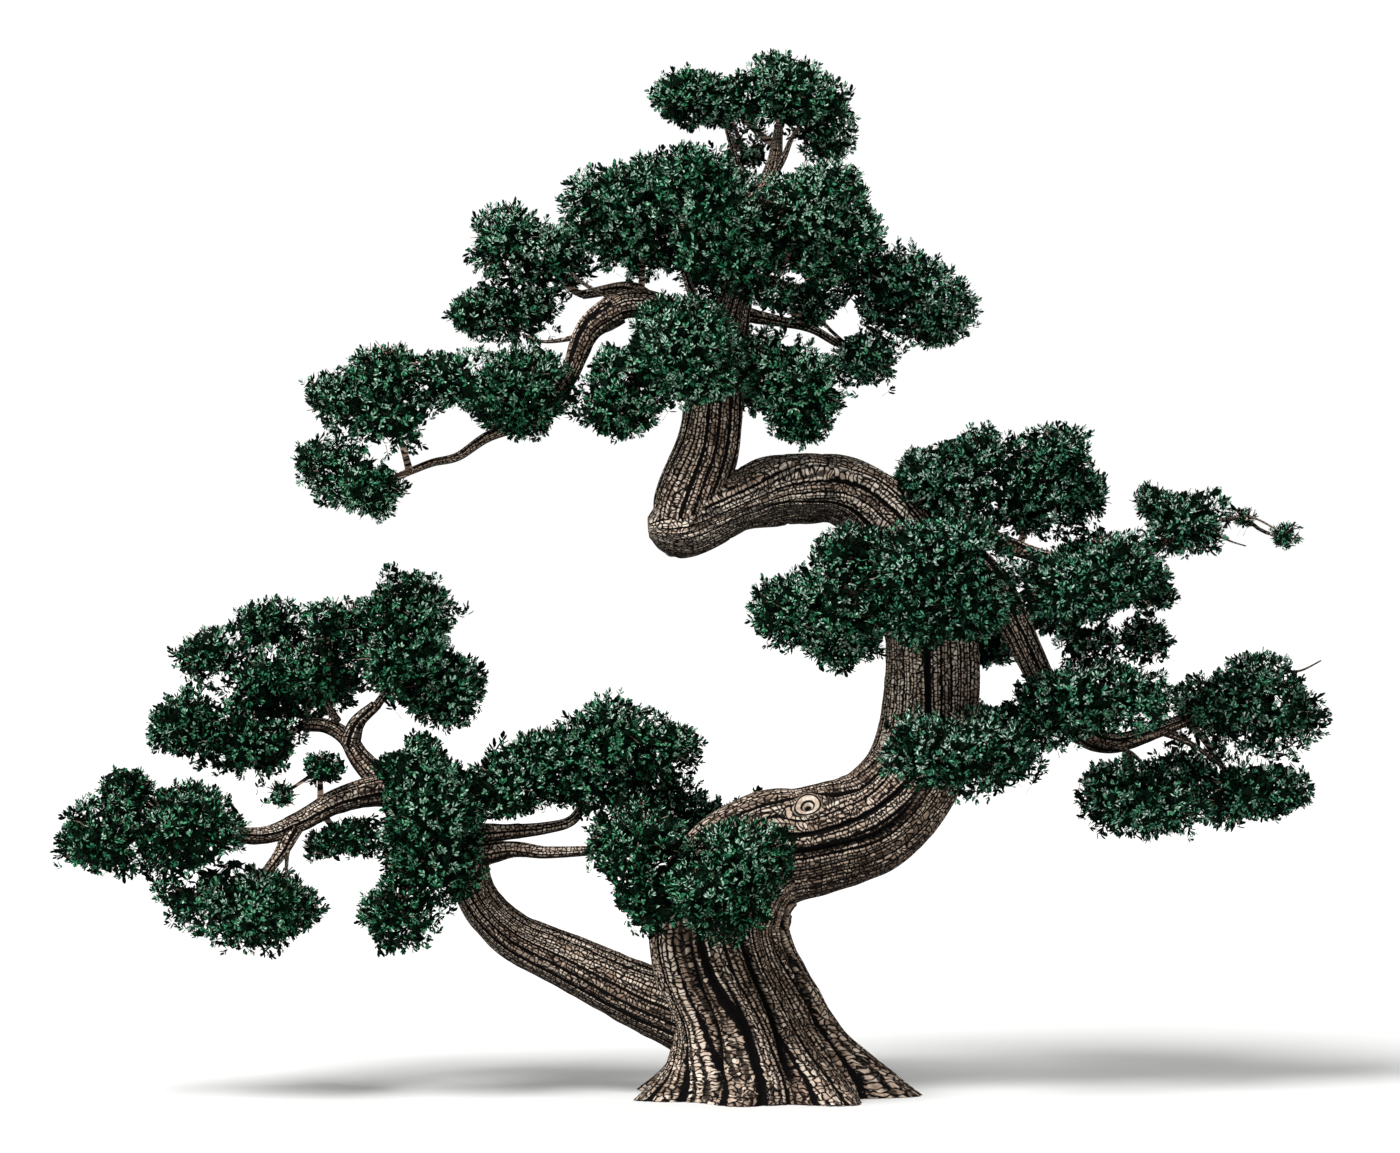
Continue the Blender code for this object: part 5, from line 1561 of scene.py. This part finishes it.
def skin_share(clump, others, ways):
    """How far out the skin lies in each direction, where the skins of neighbours flow into one."""
    low = np.full(len(ways), MERGE_RANGE[0])
    high = np.full(len(ways), MERGE_RANGE[1])
    for _halving in range(HALVINGS):
        share = (low + high) / 2
        places = clump.middle + ways * clump.half * share[:, None]
        field = np.exp(-MERGE * (share**2 - 1))
        for other in others:
            field += np.exp(-MERGE * ((((places - other.middle) / other.half) ** 2).sum(axis=1) - 1))
        low = np.where(field > 1, share, low)
        high = np.where(field > 1, high, share)
    return share


def skin_area(half):
    """A close value for the area of an ellipsoid's skin."""
    a, b, c = half**AREA_POWER
    return 4 * math.pi * ((a * b + a * c + b * c) / 3) ** (1 / AREA_POWER)


def layer(clump, others, cell, depths, seed, edge, limb_margin):
    """Tips and directions of one layer of sprays on a clump, how long each is, and the dice."""
    half = clump.half
    shallow = float(np.clip(half[0] / FULL_CLUMP, LEAST_SHALLOW, 1))
    low, high = (max(LEAST_REACH, 1 - shallow * depth / half[0]) for depth in reversed(depths))
    count = max(FEWEST_SPRAYS, round(skin_area(half) * ((low + high) / 2) ** 2 / cell))
    dice = np.random.default_rng(seed)
    even = even_directions(count, dice.uniform(0, FIRST_TURN))
    ways = unit(even + dice.normal(0, DIRECTION_DISORDER, (count, 3)))
    long = dice.random(count) ** LONG_RARITY
    share = (dice.uniform(low, high, count) + LONG_SPRAYS * long) * skin_share(clump, others, ways)
    for size, out in LUMPS_OUT:
        share += out / half[0] * noise((clump.middle + ways * half) / size, LOBE_SEED)
    tips = clump.middle + ways * half * share[:, None]
    tips[:, 1] = np.clip(tips[:, 1], solid_box[0][1] - OVER_BOX, solid_box[1][1] + OVER_BOX)
    normals = unit(ways / half)
    kept = clump.in_space(tips, -OVER_BORDER) & ~in_window(tips, edge) & off_limbs(tips, limb_margin)
    for other in others:
        kept &= ~other.holds(tips, HIDDEN_SHARE * (low + high) / 2)
    kept = np.flatnonzero(kept)
    if len(kept):
        gaps = np.linalg.norm(tips[kept, None] - tips[None, kept], axis=2)
        company = (gaps < COMPANY_REACH).sum(axis=1) - 1
        kept = kept[company > COMPANY_SHARE * math.pi * COMPANY_REACH**2 / cell]
    return tips[kept], normals[kept], long[kept], dice


def neighbours(clump):
    """The clumps whose skins flow together with this one's."""
    near = []
    for _name, other in pairs:
        apart = np.linalg.norm(other.middle - clump.middle)
        if other is not clump and apart < SKINS_MEET * (max(other.half) + max(clump.half)):
            near.append(other)
    return near


print("a clump has up to", max(len(neighbours(clump)) for _name, clump in pairs), "neighbours")

# %% [markdown]
# ## The greens
#
# Every blade has one plain colour, and neighbouring sprays differ, as do the fingers of one spray a
# little. Sprays of the outer layer and those that look up are lighter, which is painted light, and those
# that lie further in or look down are darker, which is painted shade. The few that stand furthest out are
# dark too, and draw the rim of each pad. Noise makes paler and darker patches, and higher sprays are a
# little paler. The tree's left side is a warmer green and its right side a greyer one.

# %% Leaf colours
LEAF_ROUGHNESS = 0.6
LEAF_SHINE = 0.03
GREENS = {  # base colours, from the shade inside to the palest tips
    "leaf_shade": (0.0016, 0.0072, 0.0034),
    "leaf_dark": (0.010, 0.044, 0.022),
    "leaf_green": (0.032, 0.225, 0.100),
    "leaf_light": (0.150, 0.460, 0.260),
    "leaf_pale": (0.500, 0.740, 0.580),
    "leaf_slate": (0.060, 0.255, 0.160),
    "leaf_grey": (0.540, 0.710, 0.620),
}


def leaf_material(name, colour):
    g = Graph(name)
    g.shader.inputs["Base Color"].default_value = (*colour, 1.0)
    g.shader.inputs["Roughness"].default_value = LEAF_ROUGHNESS
    g.shader.inputs["Specular IOR Level"].default_value = LEAF_SHINE
    return g.paint


LEAF_PAINTS = {name: leaf_material(name, colour) for name, colour in GREENS.items()}
SLOTS = list(GREENS)
WARM = [SLOTS.index(name) for name in ("leaf_shade", "leaf_dark", "leaf_green", "leaf_light", "leaf_pale")]
COOL = [SLOTS.index(name) for name in ("leaf_shade", "leaf_dark", "leaf_slate", "leaf_light", "leaf_grey")]
LIGHT = [SLOTS.index(name) for name in ("leaf_light", "leaf_pale", "leaf_grey")]
SHADE = SLOTS.index("leaf_shade")
DARK = SLOTS.index("leaf_dark")
TONE_STEPS = (0.06, 0.26, 0.50, 0.71)  # the tone at which each next colour begins
PAINTED_TOP_LIGHT = 0.16  # painted light: how much lighter the sprays that look straight up are
TONE_PATCHES = ((0.50, 0.17), (0.20, 0.12))  # the size of the patches of tone and how strong they are
PATCH_SEED = 90
HEIGHT_TONE = 0.030  # how much lighter the sprays are for each metre further up
EVEN_HEIGHT = 4.2  # metres above the ground, where that makes no difference
SPRAY_TONE = 0.10  # how far neighbouring sprays differ
FINGER_TONE = 0.15  # how far the fingers of a spray differ
LONG_DARK = 1.0  # how much darker the sprays that stand furthest out are
COOL_FROM = 0.6  # x, to the right of which the greens are the greyer ones
COOL_PATCHES = (0.9, 0.8)  # the size of the bays in that border, and how deep they are
COOL_SEED = 92


def spray_tones(tips, normals, long, dice, base):
    """How light each spray is."""
    # the normal's height lightens sprays that look up and darkens those that look down: painted light and
    # shade
    value = base + PAINTED_TOP_LIGHT * normals[:, 2] - LONG_DARK * long + HEIGHT_TONE * (tips[:, 2] - EVEN_HEIGHT)
    for seed, (size, strength) in enumerate(TONE_PATCHES, PATCH_SEED):
        value = value + strength * noise(tips / size, seed)
    return value + dice.normal(0, SPRAY_TONE, len(tips))


def finger_slots(tips, tones, dice, count):
    """The colour of each finger."""
    value = np.repeat(tones, count) + dice.normal(0, FINGER_TONE, len(tips) * count)
    level = np.digitize(value, TONE_STEPS)
    size, depth = COOL_PATCHES
    cool = tips[:, 0] + depth * noise(tips / size, COOL_SEED) > COOL_FROM
    return np.where(np.repeat(cool, count), np.array(COOL)[level], np.array(WARM)[level])


print(len(LEAF_PAINTS), "greens")

# %% [markdown]
# ## From sprays to pieces
#
# Now the fingers, the skin and the greens come together. The outer layer has both blades on each finger,
# with a darker margin where the finger is dark. The middle layer saves faces with one blade on each.

# %% One layer of a clump
FINGERS = 6
MIDDLE_FINGERS = 5
SPRAY_SIZE = (0.085, 0.118)  # metres
LONG_SIZE = 0.60  # how much larger the sprays are that stand out furthest
OUTWARD = 0.85  # how much a spray follows the skin, how much it turns up, and how much it scatters
UPTURN = 0.22
SCATTER = 0.25
OUTER_TONE = 0.685  # how light the sprays of each layer are before patches and height are added; the middle layer's lower tone is painted shade
MIDDLE_SHADE_TONE = 0.03
LIMB_MARGIN = 0.03  # metres between the sprays and the limbs
SHADE_MARGIN = 0.04  # metres between the dark blades and the windows
SHADE_LENGTH = 0.13
SHADE_WIDTH = 0.07
SHADE_SCATTER = 0.35


def spray_layer(clump, others, cell, depths, count, base, seed, small, whole):
    """Fingers and stalks of one layer of a clump, as lists of points, faces and slots."""
    tips, normals, long, dice = layer(clump, others, cell * small**2, depths, seed, 0.0, LIMB_MARGIN)
    if not len(tips):
        return []
    sizes = dice.uniform(*SPRAY_SIZE, len(tips)) * small * (1 + LONG_SIZE * long)
    axes = unit(normals * OUTWARD + (0, 0, UPTURN) + dice.normal(0, SCATTER, (len(tips), 3)))
    roots = tips - axes * sizes[:, None]
    fingers = fingers_of(roots, axes, sizes, dice, count)
    colours = finger_slots(tips, spray_tones(tips, normals, long, dice, base), dice, count)
    if whole:
        dark = blades(fingers, DARK_OUTLINE, DARK_FACES)
        pale = blades(fingers, PALE_OUTLINE, PLAIN_FACES, PALE_LIFT)
        # the dark blade's colour is painted shade, a dark margin round each finger
        margins = np.where(np.isin(colours, LIGHT), DARK, SHADE)
        made = [(*dark, np.repeat(margins, len(DARK_FACES))), (*pale, colours)]
    else:
        made = [(*blades(fingers, PLAIN_OUTLINE, PLAIN_FACES), colours)]
    points, faces = stalks(roots, axes, sizes)
    return made + [(points, faces, np.full(len(faces), DARK))]


def shade_layer(clump, others, depths, seed, small):
    """Broad dark blades inside a clump."""
    cell = SHADE_CELL * small**2
    tips, normals, _long, dice = layer(clump, others, cell, depths, seed, SHADE_MARGIN, 0.0)
    if not len(tips):
        return []
    facing = unit(normals + dice.normal(0, SHADE_SCATTER, (len(tips), 3)))
    way = unit(np.cross(facing, unit(dice.normal(0, 1, (len(tips), 3)))))
    side = np.cross(facing, way)
    length = np.full(len(tips), SHADE_LENGTH * small)
    half = np.full(len(tips), SHADE_WIDTH * small / 2)
    leaves = (tips - way * length[:, None] / 2, way, side, facing, length, half)
    points, faces = blades(leaves, PLAIN_OUTLINE, PLAIN_FACES)
    return [(points, faces, np.full(len(faces), SHADE))]


print("sprays of", FINGERS, "fingers outside and", MIDDLE_FINGERS, "in the middle layer")

# %% [markdown]
# All the sprays of one part of the crown become one mesh. That keeps the number of objects small, and
# each mesh small enough to be read quickly. A piece takes the place of the plain masses in its part.

# %% Pieces of foliage
MOST_TRIANGLES = 200000
FULL_SIZE = 0.30  # clumps narrower than this have smaller sprays
SMALLER = 0.30  # how much smaller the sprays of the smallest clump would be
PARTS = {
    "foliage_far_left": ("high_left_pad", "left_tier", "left_top", "tuft_above_arm"),
    "foliage_low_left": ("far_left_pad", "low_left_pad", "tuft_below_arm", "left_middle", "left_middle_back"),
    "foliage_inner_left": ("inner_left_pad", "trunk_left_mass", "trunk_front_mass", "trunk_back_mass"),
    "foliage_middle": ("middle_left_pad", "middle_front", "middle_back", "middle_top"),
    "foliage_upper_right": (
        "middle_top_right",
        "right_middle_front",
        "right_middle_back",
        "right_small_tufts",
        "right_tip_tuft",
    ),
    "foliage_lower_right": (
        "right_long_pad",
        "right_trunk_front_pad",
        "right_trunk_back_pad",
        "far_right_pad",
        "right_low_pad",
        "right_low_far_pad",
    ),
    "foliage_top": ("top_left", "top_right", "crown_left", "crown_front", "crown_back", "crown_right"),
    "foliage_low_crown": (
        "far_crown_right",
        "crown_low_right",
        "crown_low_front",
        "crown_low_back",
        "crown_under_left",
        "crown_under_right",
    ),
    "foliage_hanging": ("left_crown_pad", "hanging_pad", "hanging_tip_low", "hanging_tip"),
}


def foliage(name, masses):
    """One piece of foliage in place of these masses. The answer is its number of triangles."""
    parts = []
    for mass in masses:
        for index, clump in enumerate(clumps[mass]):
            seed = zlib.crc32(f"{mass}{index}".encode())
            others = neighbours(clump)
            small = 1 - SMALLER * (1 - min(1.0, clump.half[0] / FULL_SIZE))
            outer = (SPRAY_CELL, OUTER_DEPTHS, FINGERS, OUTER_TONE)
            middle = (MIDDLE_CELL, MIDDLE_DEPTHS, MIDDLE_FINGERS, MIDDLE_SHADE_TONE)
            parts += spray_layer(clump, others, *outer, seed, small, whole=True)
            parts += spray_layer(clump, others, *middle, seed + 1, small, whole=False)
            for step, depths in enumerate(SHADE_DEPTHS, 2):
                parts += shade_layer(clump, others, depths, seed + step, small)
    points, faces = joined([part[:2] for part in parts])
    slots = np.concatenate([part[2] for part in parts])
    triangles = int(2 * len(faces) - (faces[:, 2] == faces[:, 3]).sum())
    assert triangles < MOST_TRIANGLES, f"{name} has {triangles} triangles"
    mesh = bpy.data.meshes.new(name)
    corners = [row[:3] if row[2] == row[3] else row for row in faces.tolist()]
    mesh.from_pydata(points.tolist(), [], corners)
    for paint in LEAF_PAINTS.values():
        mesh.materials.append(paint)
    mesh.polygons.foreach_set("material_index", slots.astype(np.int32))
    piece = bpy.data.objects.new(name, mesh)
    scene.collection.objects.link(piece)
    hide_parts(*masses)
    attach(piece, "root")
    print(name, triangles, "triangles")
    return triangles


total = sum(foliage(name, masses) for name, masses in PARTS.items())
print("leaves in all:", total, "triangles")

# %% [markdown]
# ## Done
#
